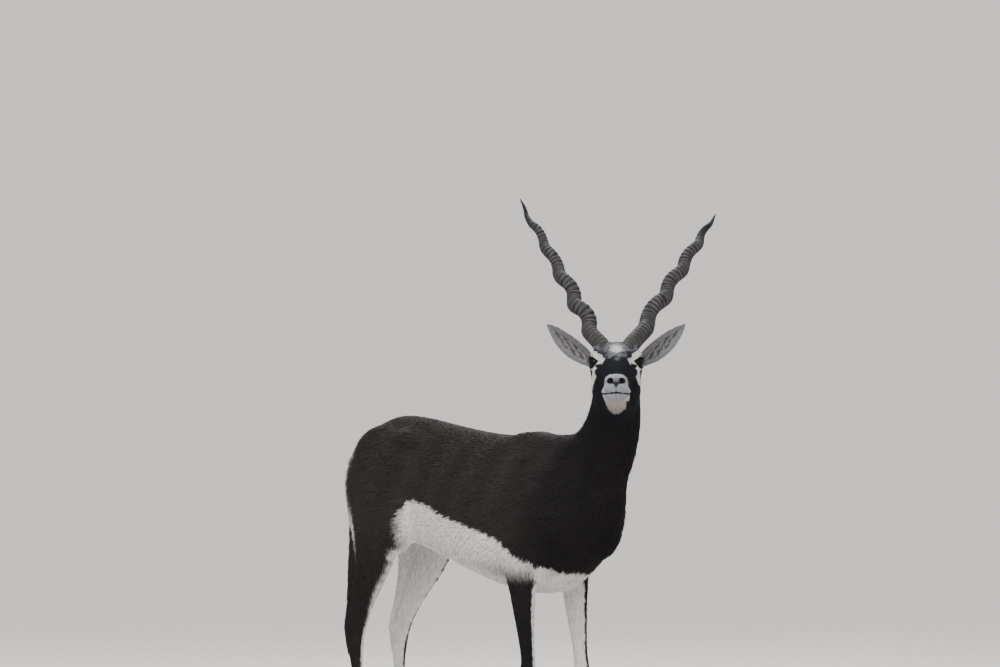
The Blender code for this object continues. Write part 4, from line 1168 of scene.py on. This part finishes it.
def make_skin(form, collection):
    """One surface over the whole animal: a finer head joined to the body along the nape."""
    rest = [form.trunk, *form.legs, form.neck, form.tail]
    head = settled("head_form", [form.head, form.neck], form, SKIN_HEAD_VOXELS, collection)
    body = settled("body_form", rest, form, SKIN_BODY_VOXELS, collection)
    nape = from_head(NAPE_CUT)
    normal = NAPE_NORMAL @ HEAD_AXES
    bm = bmesh.new()
    bm.from_mesh(head.data)
    cut_open(bm, bm.faces[:], nape, normal)
    other = bmesh.new()
    other.from_mesh(body.data)
    cut_open(other, other.faces[:], nape, -normal)
    for name in STANCE:
        close_foot(other, name)
    joined = bpy.data.meshes.new("body_cut")
    other.to_mesh(joined)
    other.free()
    bm.from_mesh(joined)
    rims = [edge for edge in bm.edges if edge.is_boundary]
    bmesh.ops.bridge_loops(bm, edges=rims)
    bmesh.ops.triangulate(bm, faces=bm.faces)
    for old in (head, body):
        bpy.data.objects.remove(old)
    skin = mesh_object("skin", bm, collection)
    skin.data.shade_smooth()
    return skin


def coat_depth(points):
    """Depth of the short coat: a few millimetres on the body, one or less on the face and feet."""
    reach = lengths(to_head(points) * (0.9, 1, 1))
    depth = 0.0030 - 0.0016 * fade(0.30, 0.62, points[:, 2])
    depth = depth - 0.0006 * fade(0.16, 0.30, reach)
    depth = np.where(reach < 0.16, np.minimum(depth, 0.0008 + 0.0016 * step(0.07, 0.16, reach)), depth)
    return np.where(points[:, 2] < 0.06, 0.0008, depth)


def along_surface(way, out):
    """Directions turned to lie along the surface, at length 1."""
    return units(way - (way * out).sum(1, keepdims=True) * out)


def lie_of_coat(points, normals):
    """The way the hair points: from the nose back, down the neck, along the body and down the legs."""
    m = to_head(points)
    on_head = fade(-0.09, -0.04, -m[:, 0] - 0.02)
    on_head = np.where(lengths(m) > 0.2, 0, on_head)
    down_neck = unit(NECK_START - from_head((-0.05, 0, -0.03)))
    neck = fade(-0.42, -0.30, points[:, 1]) * step(0.62, 0.70, points[:, 2])
    legs = fade(0.46, 0.60, points[:, 2]) * step(0.02, 0.05, np.abs(points[:, 0]))
    behind = step(0.30, 0.36, points[:, 1])
    way = np.tile(unit((0, 1.0, -0.30)), (len(points), 1))
    over_head = -HEAD_AXES[0] - 0.35 * HEAD_AXES[2]
    for share, toward in (
        (legs, np.array((0, 0.12, -1.6))),
        (neck, down_neck),
        (on_head, over_head),
        (behind, np.array((0, 0.1, -1.0))),
    ):
        way = way + share[:, None] * (toward - way)
    way += 0.25 * np.stack([waves(points, 0.07, seed) for seed in (21, 22, 23)], 1)
    return along_surface(way, normals)


def slopes(form, points):
    """Directions straight out of the form at points near its surface."""
    sides = [2 * PROBE * axis for axis in np.eye(3)]
    return units(np.stack([form.distance(points + side) - form.distance(points - side) for side in sides], 1))


def scattered(obj, number, weight, rng):
    """Random places over the surface, more where the weight is high."""
    mesh = obj.data
    mesh.calc_loop_triangles()
    corners = np.empty(len(mesh.loop_triangles) * 3, np.int32)
    mesh.loop_triangles.foreach_get("vertices", corners)
    corners = corners.reshape(-1, 3)
    points = vertices(mesh)
    a, b, c = (points[corners[:, k]] for k in range(3))
    area = lengths(np.cross(b - a, c - a)) / 2
    chance = area * weight((a + b + c) / 3)
    chosen = rng.choice(len(area), number, p=chance / chance.sum())
    u, v = rng.random(number), rng.random(number)
    over = u + v > 1
    u[over], v[over] = 1 - u[over], 1 - v[over]
    share = np.stack([1 - u - v, u, v], 1)[:, :, None]
    return (points[corners[chosen]] * share).sum(1)


def turn_share(across, up):
    """Share of a full turn round an axis, from 0 to 1."""
    return np.arctan2(across, up) / math.tau + 0.5


def unwrapped(points):
    """A flat place from 0 to 1 for each point, on the part's own round and length."""
    m = to_head(points)
    x, y, z = points.T
    on_head = (lengths(m - (0.02, 0, -0.03)) < 0.14) & (m[:, 0] > -0.09)
    on_leg = ~on_head & (z < 0.52)
    on_neck = ~on_head & ~on_leg & (y < -0.36)
    uv = np.empty((len(points), 2))
    uv[:, 0] = turn_share(x, z - 0.65)
    uv[:, 1] = 0.02 + 0.46 * (y + 0.4) / 0.86
    uv[on_neck, 0] = turn_share(x, y + 0.50)[on_neck]
    uv[on_neck, 1] = 0.50 + 0.14 * (z[on_neck] - 0.5) / 0.5
    uv[on_head, 0] = 0.5 * turn_share(m[:, 1], m[:, 2] + 0.03)[on_head]
    uv[on_head, 1] = 0.66 + 0.32 * (m[on_head, 0] + 0.1) / 0.25
    for n, (sign, back) in enumerate([(1, False), (-1, False), (1, True), (-1, True)]):
        mine = on_leg & (x * sign > 0) & ((y > 0) == back)
        centre_y = np.interp(z, (0.0, 0.3, 0.52), (0.32, 0.345, 0.26) if back else (-0.275, -0.264, -0.25))
        uv[mine, 0] = 0.5 + 0.125 * (n + turn_share(np.abs(x) - 0.068, y - centre_y)[mine])
        uv[mine, 1] = 0.66 + 0.32 * z[mine] / 0.52
    return np.clip(uv, 0.002, 0.998)


def tuft_mesh(name, at, out, way, length, width, lift, colours, flat, collection):
    """Tapered, ridged tufts from their roots along the lie: two faces to the middle and a point."""
    across = np.cross(out, way)
    length, width, lift = (value[:, None] for value in (length, width, lift))
    root = at - out * 0.0004
    middle = at + way * length * 0.5 + out * lift
    tip = at + way * length + out * lift * 1.25
    points = np.stack(
        [
            root - across * width * 0.5,
            root + across * width * 0.5,
            middle - across * width * 0.42,
            middle + out * width * 0.22,
            middle + across * width * 0.42,
            tip,
        ],
        1,
    )
    faces = (TUFT_FACES[None] + 6 * np.arange(len(at))[:, None, None]).reshape(-1, 3)
    obj = mesh_from(name, points.reshape(-1, 3), faces, collection)
    # Painted shade at each tuft's root, down among the hair, lighter toward its ridge and tip.
    paint(obj, (colours[:, None, :] * TUFT_PAINTED_SHADE[None, :, None]).reshape(-1, 3))
    uv = flat[:, None, :] + TUFT_PATCH[None] * PATCH_SIZE
    layer = obj.data.uv_layers.new(name="OFBake")
    layer.data.foreach_set("uv", uv.reshape(-1, 2)[faces.ravel()].astype(np.float32).ravel())
    return obj


def tuft_size(points):
    """Near 0 on the muzzle, lids and feet, where the hair is shortest, to 1 on the body."""
    m = to_head(points)
    reach = lengths(m * (0.8, 1, 1))
    behind = step(0.03, 0.16, reach) * fade(-0.01, 0.03, m[:, 0])
    size = np.where(reach < 0.2, 0.06 * step(0.02, 0.09, 0.13 - m[:, 0]) + 0.50 * behind, 1.0)
    return np.minimum(size, 0.30 + 0.70 * step(0.10, 0.62, points[:, 2]))


def grow_coat(skin, form, collection):
    """Short tufts over the whole skin, in pieces of one mesh each."""
    rng = np.random.default_rng(11)

    def density(places):
        return 1 / (0.12 + tuft_size(places)) ** 1.5

    at = scattered(skin, TUFTS, density, rng)
    out = slopes(form, at)
    m = to_half_head(at)
    size = tuft_size(at)
    way = lie_of_coat(at, out)
    way = along_surface(way + 0.16 * rng.normal(size=way.shape), out)
    length = (0.0020 + 0.0145 * size) * rng.uniform(0.75, 1.2, len(at))
    width = (0.00055 + 0.0021 * size) * rng.uniform(0.7, 1.25, len(at))
    lift = coat_depth(at) * rng.uniform(0.25, 0.75, len(at))
    # Longer hair on the forehead in front of the horns.
    crest = step(-0.034, -0.024, m[:, 0]) * fade(0.004, 0.018, m[:, 0])
    crest = crest * step(0.022, 0.032, m[:, 2]) * fade(0.042, 0.050, m[:, 1])
    length *= 1 + 0.5 * crest
    width *= 1 - 0.3 * crest
    lift += 0.0009 * crest * rng.uniform(0.3, 1, len(at))
    way = units(way + crest[:, None] * (0.3 * HEAD_AXES[2] - 0.2 * HEAD_AXES[0]))
    # Fuller hair at the corners of the lips, and hair that closes over the middle of the chin.
    corner = np.exp(-((lengths(m - LIP_CORNER) / 0.011) ** 2))
    length *= 1 + 0.8 * corner
    lift += 0.0034 * corner * rng.uniform(0.5, 1.1, len(at))
    chin = fade(0.001, 0.004, m[:, 1]) * (m[:, 2] < -0.0835) * (m[:, 0] > 0.06)
    way = units(way + (0.8 * chin * rng.normal(size=len(at)))[:, None] * np.cross(out, way))
    # Where the form bends away under a tuft, the tuft is shorter.
    high = form.distance(at + way * length[:, None] + 1.25 * lift[:, None] * out)
    length *= 1 - 0.6 * step(0.0015, 0.0045, high) * (1 - crest) * (1 - corner)
    # No hair on bare skin or on the eyes.
    colours, _ = markings(at + 0.5 * way * length[:, None], out)
    bare = np.maximum(markings(at, out)[1], markings(at + way * length[:, None], out)[1])
    kept = (rng.random(len(at)) > 3 * bare) & (lengths(m - EYE_PLACE) > EYE_RADIUS + 0.0006)
    shades = rng.uniform(-0.18, 0.20, len(at)) * (1 - 0.5 * crest)
    colours = colours * (1 + shades)[:, None]
    flat = unwrapped(at)
    order = np.argsort(at[:, 1] * 2 + at[:, 2], kind="stable")
    order = order[kept[order]]
    pieces = []
    for n, rows in enumerate(np.array_split(order, 1 + len(order) // TUFTS_IN_PIECE)):
        picked = (value[rows] for value in (at, out, way, length, width, lift, colours, flat))
        pieces.append(tuft_mesh(f"coat_{n + 1}", *picked, collection))
    return pieces


def fine_horn(side, collection):
    """A ringed corkscrew horn: thick rings with painted shade in the narrow gaps and a painted highlight on
    the crests, fading out below the smooth tip.
    """
    rng = np.random.default_rng(31 if side == "left" else 32)
    count = 44
    crests = RING_START + (RINGED - RING_START) * (np.arange(HORN_RINGS + 2) / HORN_RINGS) ** RING_SPACING
    shares = np.unique(np.concatenate([np.linspace(-0.05, 0.9, 420), np.linspace(0.9, 1.0, 36)]))
    turns = np.arange(count) * math.tau / count
    tilt = rng.uniform(-0.16, 0.16, HORN_RINGS + 2)
    strong = rng.uniform(0.75, 1.15, HORN_RINGS + 2)
    rings, tones = [], []
    for share in shares:
        centre, radius = horn_line(side, share)
        along = unit(horn_line(side, share + 0.004)[0] - centre)
        out = unit(np.array((0, 1.0, 0)) - along[1] * along)
        up = np.cross(along, out)
        # Each way round the horn meets the rings a little sooner or later, so they lie aslant.
        place = np.interp(share, crests, np.arange(len(crests)))
        ring = int(np.clip(round(place), 0, HORN_RINGS))
        slant = tilt[ring] * np.sin(turns + ring) + 0.04 * np.sin(3 * turns + 2 * ring)
        phase = (np.full(count, place) + slant) % 1.0
        ridge = np.abs(np.cos(math.pi * phase)) ** 0.55
        height = strong[ring] * fade(0.74, 0.88, share) * (0.4 + 0.6 * step(0.03, 0.18, share))
        thick = radius + (2 * ridge - 1.25) * RING_RELIEF * height * 1.15
        thick = thick * (1 + 0.015 * np.sin(2 * turns + 40 * share))
        at = centre + np.outer(np.cos(turns) * thick, out) + np.outer(np.sin(turns) * thick * 1.06, up)
        rings.append(from_head(at * MIRROR[side]))
        base = mix(HORN_TONE, HORN_OLIVE, np.full(count, fade(0.0, 0.13, share)))
        base = mix(base, HORN_TIP, np.full(count, step(0.76, 0.90, share)))
        # Painted shade in the gaps between the rings, and a painted highlight along their crests.
        gap_shade = fade(0.15, 0.85, ridge) * height
        crest_highlight = step(0.90, 1.0, ridge) * height * (0.6 + 0.4 * np.sin(3 * turns + 7 * ring))
        tones.append(base * ((1 - 0.86 * gap_shade) * (1 + 1.3 * crest_highlight))[:, None])
    points = np.concatenate(rings)
    obj = mesh_from(f"horn_{side}_ringed", points, tube_faces(len(rings), count, side), collection)
    blotches = waves(points, 0.03, 33)[:, None]
    paint(obj, np.concatenate(tones) * (1 + 0.18 * blotches))
    return obj


def ear_place(share, u, depth, side):
    """Points of the ear. share is of its length, u goes from -1 to 1 between its edges, and depth is 0 on its
    back and 1 in its cup.
    """
    axis = unit(EAR_TIP - EAR_BASE)
    facing = unit(EAR_FACING - (EAR_FACING @ axis) * axis)
    across = np.cross(facing, axis)
    table = spline(EAR_SECTIONS, 6)
    half, cup, thick = (np.interp(share, table[:, 0], table[:, k]) for k in (1, 2, 3))
    arch = np.sin(np.pi * share)
    centre = EAR_BASE + np.outer(share, EAR_TIP - EAR_BASE) - np.outer(arch * EAR_BOW, facing)
    centre -= np.outer(arch * EAR_SAG, across)
    rim = 1 - depth * EAR_RIM / half
    back = -cup * (1 - u * u) + (depth - 0.5) * thick * (1 - 0.35 * u * u)
    local = centre + across * (half * rim * u)[:, None] + facing * back[:, None]
    return from_head(local * MIRROR[side])


def fine_ear(side, collection):
    """The ear's leaf with its cup, painted with a pale rim and dark streaks."""
    rows, columns = 40, 26
    across = np.linspace(-1, 1, columns)
    count = 2 * columns
    share = np.repeat(np.linspace(0, 1, rows), count)
    u = np.tile(np.concatenate([across, across[::-1]]), rows)
    depth = np.tile(np.concatenate([np.zeros(columns), np.ones(columns)]), rows)
    points = ear_place(share, u, depth, side)
    obj = mesh_from(f"ear_{side}_leaf", points, tube_faces(rows, count, side), collection)
    paint(obj, ear_colour(share, u, depth))
    return obj


def ear_colour(share, u, depth):
    """Grey with darker streaks inside the cup, a pale rim, and browner behind."""
    place = np.stack([share * 0.14, u * 0.03, depth * 0.01], 1)
    streaks = 1.1 * waves(place * (1.0, 2.4, 1), 0.024, 41) + 0.5 * waves(place * (2.0, 3.0, 1), 0.011, 43)
    streak = np.clip(0.45 + streaks, 0, 1)
    middle = 1 - 0.8 * step(0.35, 0.95, np.abs(u + 0.10))
    inside = mix(EAR_PALE, EAR_DARK, 0.9 * streak * middle * step(0.05, 0.25, share))
    inside = mix(inside, EAR_GREY, np.full(len(share), 0.15))
    rim = step(0.80, 0.95, np.abs(u))
    inside = mix(inside, EAR_PALE, 0.7 * rim)
    behind = mix(EAR_BACK, EAR_DARK, step(0.55, 0.95, share))
    behind = mix(behind, EAR_PALE, 0.5 * rim + 0.6 * fade(0.05, 0.25, share) * (1 - rim))
    return mix(behind, inside, depth)


def ear_coat(side, collection):
    """Short hair on both faces of the ear, longer along the edges of the cup."""
    rng = np.random.default_rng(51 if side == "left" else 52)
    number = 9000
    share = rng.uniform(0.0, 0.985, number)
    u = rng.uniform(-1, 1, number)
    depth = (rng.random(number) < 0.55).astype(float)
    fringe = rng.random(number) < 0.22
    u = np.where(fringe, np.sign(u) * rng.uniform(0.70, 0.98, number), u)
    depth = np.where(fringe, 1.0, depth)
    at = ear_place(share, u, depth, side)
    ahead = ear_place(np.minimum(share + 0.02, 1), u, depth, side)
    beside = ear_place(share, np.clip(u + 0.05, -1, 1.05), depth, side) - at
    way = units(ahead - at)
    out = units(np.cross(way, beside))
    facing = EAR_FACING * MIRROR[side] @ HEAD_AXES
    flip = np.sign((out @ facing)) * np.where(depth > 0.5, 1.0, -1.0)
    out = out * np.where(flip == 0, 1, flip)[:, None]
    inward = beside * (-np.sign(u)[:, None] / np.maximum(lengths(beside), 1e-9)[:, None])
    way = way + np.where(fringe, 0.55, 0.0)[:, None] * inward + 0.15 * rng.normal(size=way.shape)
    way = along_surface(way, out)
    length = np.where(fringe, rng.uniform(0.008, 0.015, number), rng.uniform(0.004, 0.008, number))
    length *= np.where(share > 0.9, 0.6, 1.0)
    width = np.where(fringe, 0.0009, 0.0013) * rng.uniform(0.7, 1.2, number)
    lift = np.where(fringe, rng.uniform(0.0008, 0.0028, number), rng.uniform(0.0002, 0.0007, number))
    colours = ear_colour(share, u, depth)
    colours = mix(colours, EAR_PALE, np.where(fringe, 0.75, 0.0)) * rng.uniform(0.75, 1.2, (number, 1))
    flat = np.stack([0.05 + 0.4 * share, 0.25 + 0.1 * u + 0.24 * depth], 1) * 0.04 + 0.955
    return tuft_mesh(f"ear_{side}_coat", at, out, way, length, width, lift, colours, flat, collection)


def fine_eye(side, collection):
    """Eyeball with a slightly raised clear front, a dark iris and a level pupil."""
    bm = bmesh.new()
    bmesh.ops.create_icosphere(bm, subdivisions=5, radius=1)
    obj = mesh_object(f"eye_{side}_ball", bm, collection)
    local = units(vertices(obj.data))
    angle = np.arccos(np.clip(local[:, 0], -1, 1))
    radius = EYE_RADIUS * (1 + 0.030 * fade(0.2, 0.75, angle))
    iris = fade(0.62, 0.70, angle)
    pupil = fade(0.85, 1.1, np.hypot(local[:, 1] / 0.36, local[:, 2] / 0.17)) * (local[:, 0] > 0)
    ray = 1 + 0.25 * np.sin(19 * np.arctan2(local[:, 2], local[:, 1]))
    colours = mix(EYE_WHITE, IRIS, iris) * (1 + 0.4 * (ray - 1) * iris)[:, None]
    at = EYE_PLACE + (local * radius[:, None]) @ EYE_AXES
    obj.data.vertices.foreach_set("co", from_head(at * MIRROR[side]).ravel())
    if side == "right":
        obj.data.flip_normals()
    obj.data.shade_smooth()
    paint(obj, mix(colours, PUPIL, pupil))
    return obj


def lid_rims(side, collection):
    """The dark edges of both lids and the corner between them, lying on the eyeball."""
    count, sides = 96, 10
    turn = np.arange(count) * math.tau / count
    along = LID_LENGTH * 1.01 * np.cos(turn)
    up = LID_HEIGHT * np.sin(turn) * np.abs(np.sin(turn)) ** 0.6
    out = np.sqrt(np.maximum((EYE_RADIUS * 1.015) ** 2 - along**2 - up**2, 0))
    line = np.stack([out, along, up], 1)
    tangent = units(np.roll(line, -1, 0) - np.roll(line, 1, 0))
    radial = units(line)
    across = np.cross(tangent, radial)
    thick = np.where(np.sin(turn) > 0, 0.00125, 0.00090)
    rounds = np.arange(sides) * math.tau / sides
    points = (
        line[:, None]
        + radial[:, None] * (thick[:, None] * np.cos(rounds) * 0.8)[..., None]
        + across[:, None] * (thick[:, None] * np.sin(rounds) * 1.3)[..., None]
    ).reshape(-1, 3)
    points = from_head((EYE_PLACE + points @ EYE_AXES) * MIRROR[side])
    a = np.arange(count * sides).reshape(count, sides)
    b, c = np.roll(a, -1, 0), np.roll(a, -1, 1)
    d = np.roll(b, -1, 1)
    faces = np.concatenate([np.stack([a, b, d], -1).reshape(-1, 3), np.stack([a, d, c], -1).reshape(-1, 3)])
    obj = mesh_from(f"lids_{side}", points, faces, collection)
    outside = (vertex_normals(obj.data) * (points - points.mean(0))).sum(1).mean()
    if outside < 0:
        obj.data.flip_normals()
    paint(obj, np.tile(LID_TONE, (len(points), 1)))
    return obj


def lashes(side, collection):
    """Dark lashes along the upper lid."""
    rng = np.random.default_rng(61)
    number = 110
    turn = rng.uniform(0.25, 2.75, number)
    along = LID_LENGTH * np.cos(turn)
    up = LID_HEIGHT * np.sin(turn) ** 1.6 + 0.0008
    out = np.sqrt((EYE_RADIUS * 1.04) ** 2 - along**2 - up**2)
    at = np.stack([out, along, up], 1)
    rise = rng.uniform(-0.35, 0.1, number)
    way = units(np.stack([np.full(number, 0.9), 1.2 * along / LID_LENGTH, rise], 1))
    normal = along_surface(np.tile((0.0, 0.0, 1.0), (number, 1)), way)
    world = [from_head((EYE_PLACE + at @ EYE_AXES) * MIRROR[side])]
    world += [((v @ EYE_AXES) * MIRROR[side]) @ HEAD_AXES for v in (normal, way)]
    length = rng.uniform(0.005, 0.0085, number)
    width, lift = np.full(number, 0.0006), np.full(number, 0.0008)
    flat = np.stack([rng.uniform(0.96, 0.99, number), rng.uniform(0.90, 0.93, number)], 1)
    shade = np.tile(LID_TONE, (number, 1))
    return tuft_mesh(f"lashes_{side}", *world, length, width, lift, shade, flat, collection)


def fine_hoof(name, claw, collection):
    """One claw, smoother than the solid, with growth rings round its wall."""
    rows, count = 26, 40
    side = 1 if name.endswith("left") else -1
    foot_x, foot_y = foot_place(name)
    outward = side if claw == "outer" else -side
    table = spline(HOOF_SECTIONS, 8)
    points, tones = [], []
    for share in np.linspace(0, 1, rows):
        width, heel, toe = (np.interp(share, table[:, 0], table[:, k]) for k in (1, 2, 3))
        soft = min(1.0, 0.93 + 1.4 * share)
        for k in range(count):
            turn = math.tau * k / count
            v = (1 - math.cos(turn)) / 2
            bulge = abs(math.sin(turn)) ** 0.8
            growth = math.sin(34 * share + 2 * v)
            wave = 1 + 0.006 * growth * (share > 0.05)
            across = width * soft * wave * bulge * (1 - 0.22 * v) if turn < math.pi else -0.0004 * bulge
            y = foot_y - heel * soft - (toe - heel) * v * wave * soft
            top = coronet_height(y, foot_y) + 0.0006
            x = side * foot_x + outward * (CLEFT / 2 + CLAW_WALL + across)
            points.append((x, y, share * top))
            tones.append(0.8 + 0.2 * growth**2 + 0.5 * share**6)
    obj = mesh_from(f"hoof_{name}_{claw}_wall", np.array(points), tube_faces(rows, count), collection)
    bm = bmesh.new()
    bm.from_mesh(obj.data)
    bmesh.ops.recalc_face_normals(bm, faces=bm.faces)
    bm.to_mesh(obj.data)
    bm.free()
    obj.data.shade_smooth()
    obj.data.set_sharp_from_angle(angle=math.radians(50))
    paint(obj, np.array(tones)[:, None] * HOOF_TONE)
    return obj


def placed_in_scene(obj, place, toward):
    """Put an object at a place, looking along a direction, and link it to the scene."""
    obj.matrix_world = Matrix.Translation(place) @ toward.to_track_quat("-Z", "Y").to_matrix().to_4x4()
    bpy.context.scene.collection.objects.link(obj)


def set_stage(middle):
    """Pale floor, soft light from above and in front, and the backdrop."""
    floor_mesh = bpy.data.meshes.new("floor")
    corners = [(-FLOOR, -FLOOR, 0), (FLOOR, -FLOOR, 0), (FLOOR, FLOOR, 0), (-FLOOR, FLOOR, 0)]
    floor_mesh.from_pydata(corners, [], [(0, 1, 2, 3)])
    floor = bpy.data.objects.new("floor", floor_mesh)
    bpy.context.scene.collection.objects.link(floor)
    pale = bpy.data.materials.new("floor")
    pale.use_nodes = True
    shader = pale.node_tree.nodes["Principled BSDF"]
    start = Wire(pale.node_tree, None)
    grain = start.node("ShaderNodeTexCoord", output="Object").noise(0.8)
    tone = grain.times(FLOOR_TONE, 0.97, 1.03)
    pale.node_tree.links.new(tone.socket, shader.inputs["Base Color"])
    shader.inputs["Roughness"].default_value = 0.9
    shader.inputs["Specular IOR Level"].default_value = 0.1
    floor_mesh.materials.append(pale)
    world = bpy.data.worlds.new("studio")
    bpy.context.scene.world = world
    world.use_nodes = True
    backdrop = world.node_tree.nodes["Background"]
    backdrop.inputs["Color"].default_value = BACKDROP_TONE
    backdrop.inputs["Strength"].default_value = WORLD_LIGHT
    sun = bpy.data.lights.new("key", "SUN")
    sun.energy = SUN_LIGHT
    sun.angle = math.radians(SUN_WIDTH)
    placed_in_scene(bpy.data.objects.new("key", sun), Vector((0, 0, 0)), -Vector(KEY_FROM))
    for name, place, size, power in SOFT_LIGHTS:
        panel = bpy.data.lights.new(name, "AREA")
        panel.shape = "DISK"
        panel.size = size
        panel.energy = power
        place = Vector(place)
        placed_in_scene(bpy.data.objects.new(name, panel), Vector(middle) + place, -place)


def set_camera(eyes):
    """A long lens at the photographer's height, aimed so that the eyes fall where the photo has them."""
    away = math.radians(CAMERA_AZIMUTH)
    above = math.radians(CAMERA_ELEVATION)
    back = Vector((math.sin(away) * math.cos(above), -math.cos(away) * math.cos(above), math.sin(above)))
    focal = LENS / SENSOR * PHOTO_SIZE[0]
    yaw = math.atan2(-back.y, -back.x) + math.atan((EYES_SEEN[0] - PHOTO_SIZE[0] / 2) / focal)
    pitch = math.asin(-back.z) + math.atan((EYES_SEEN[1] - PHOTO_SIZE[1] / 2) / focal)
    aim = Vector((math.cos(yaw) * math.cos(pitch), math.sin(yaw) * math.cos(pitch), math.sin(pitch)))
    data = bpy.data.cameras.new("camera")
    data.lens = LENS
    data.sensor_width = SENSOR
    data.clip_end = 10000
    camera = bpy.data.objects.new("camera", data)
    placed_in_scene(camera, Vector(eyes) + CAMERA_DISTANCE * back, aim)
    bpy.context.scene.camera = camera


def dressed_pieces(parts):
    """Every piece with its material, its slot and the nodes that it replaces."""
    form = Body()
    skin = make_skin(form, parts)
    inner = vertices(skin.data)
    out = slopes(form, inner)
    colours, _ = markings(inner, out)
    inner = inner - out * coat_depth(inner)[:, None]
    skin.data.vertices.foreach_set("co", inner.ravel())
    skin.data.update()
    paint(skin, colours * 0.92)
    fur = painted("coat", 0.80, 160.0, (0.80, 1.15), 0.0012)
    bare = painted("horn", 0.65, 90.0, (0.75, 1.2), 0.0005)
    wet = painted("eye", 0.10, 60.0, (0.95, 1.05), 0.00002, shine=0.12, coat=0.05)
    hoof_horn = painted("hoof", 0.42, 120.0, (0.8, 1.2), 0.0003, shine=0.35)
    dressed = [(skin, fur, "coat", FLESH)]
    dressed += [(piece, fur, "coat", ()) for piece in grow_coat(skin, form, parts)]
    for side in ("left", "right"):
        dressed.append((fine_horn(side, parts), bare, "horn", (f"horn_{side}",)))
        dressed.append((fine_ear(side, parts), fur, "ear", (f"ear_{side}",)))
        dressed.append((ear_coat(side, parts), fur, "ear", ()))
        dressed.append((fine_eye(side, parts), wet, "eye", (f"eye_{side}",)))
        dressed.append((lid_rims(side, parts), bare, "coat", ()))
        dressed.append((lashes(side, parts), fur, "coat", ()))
    for name in STANCE:
        for claw in ("inner", "outer"):
            dressed.append((fine_hoof(name, claw, parts), hoof_horn, "hoof", (f"hoof_{name}_{claw}",)))
    return dressed


def main():
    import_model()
    parts = bpy.data.collections.new("blackbuck_dressed")
    bpy.context.scene.collection.children.link(parts)
    low, high = (np.array(corner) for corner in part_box("eye_left"))
    home = (low + high) / 2 - from_head(EYE_PLACE)
    for piece, surface, slot, nodes in dressed_pieces(parts):
        piece.data.transform(Matrix.Translation(home))
        piece.data.materials.clear()
        piece.data.materials.append(surface)
        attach(piece, "root")
        if nodes:
            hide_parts(*nodes)
    eyes = EYES_MIDDLE + home
    set_stage(eyes)
    set_camera(eyes)


main()
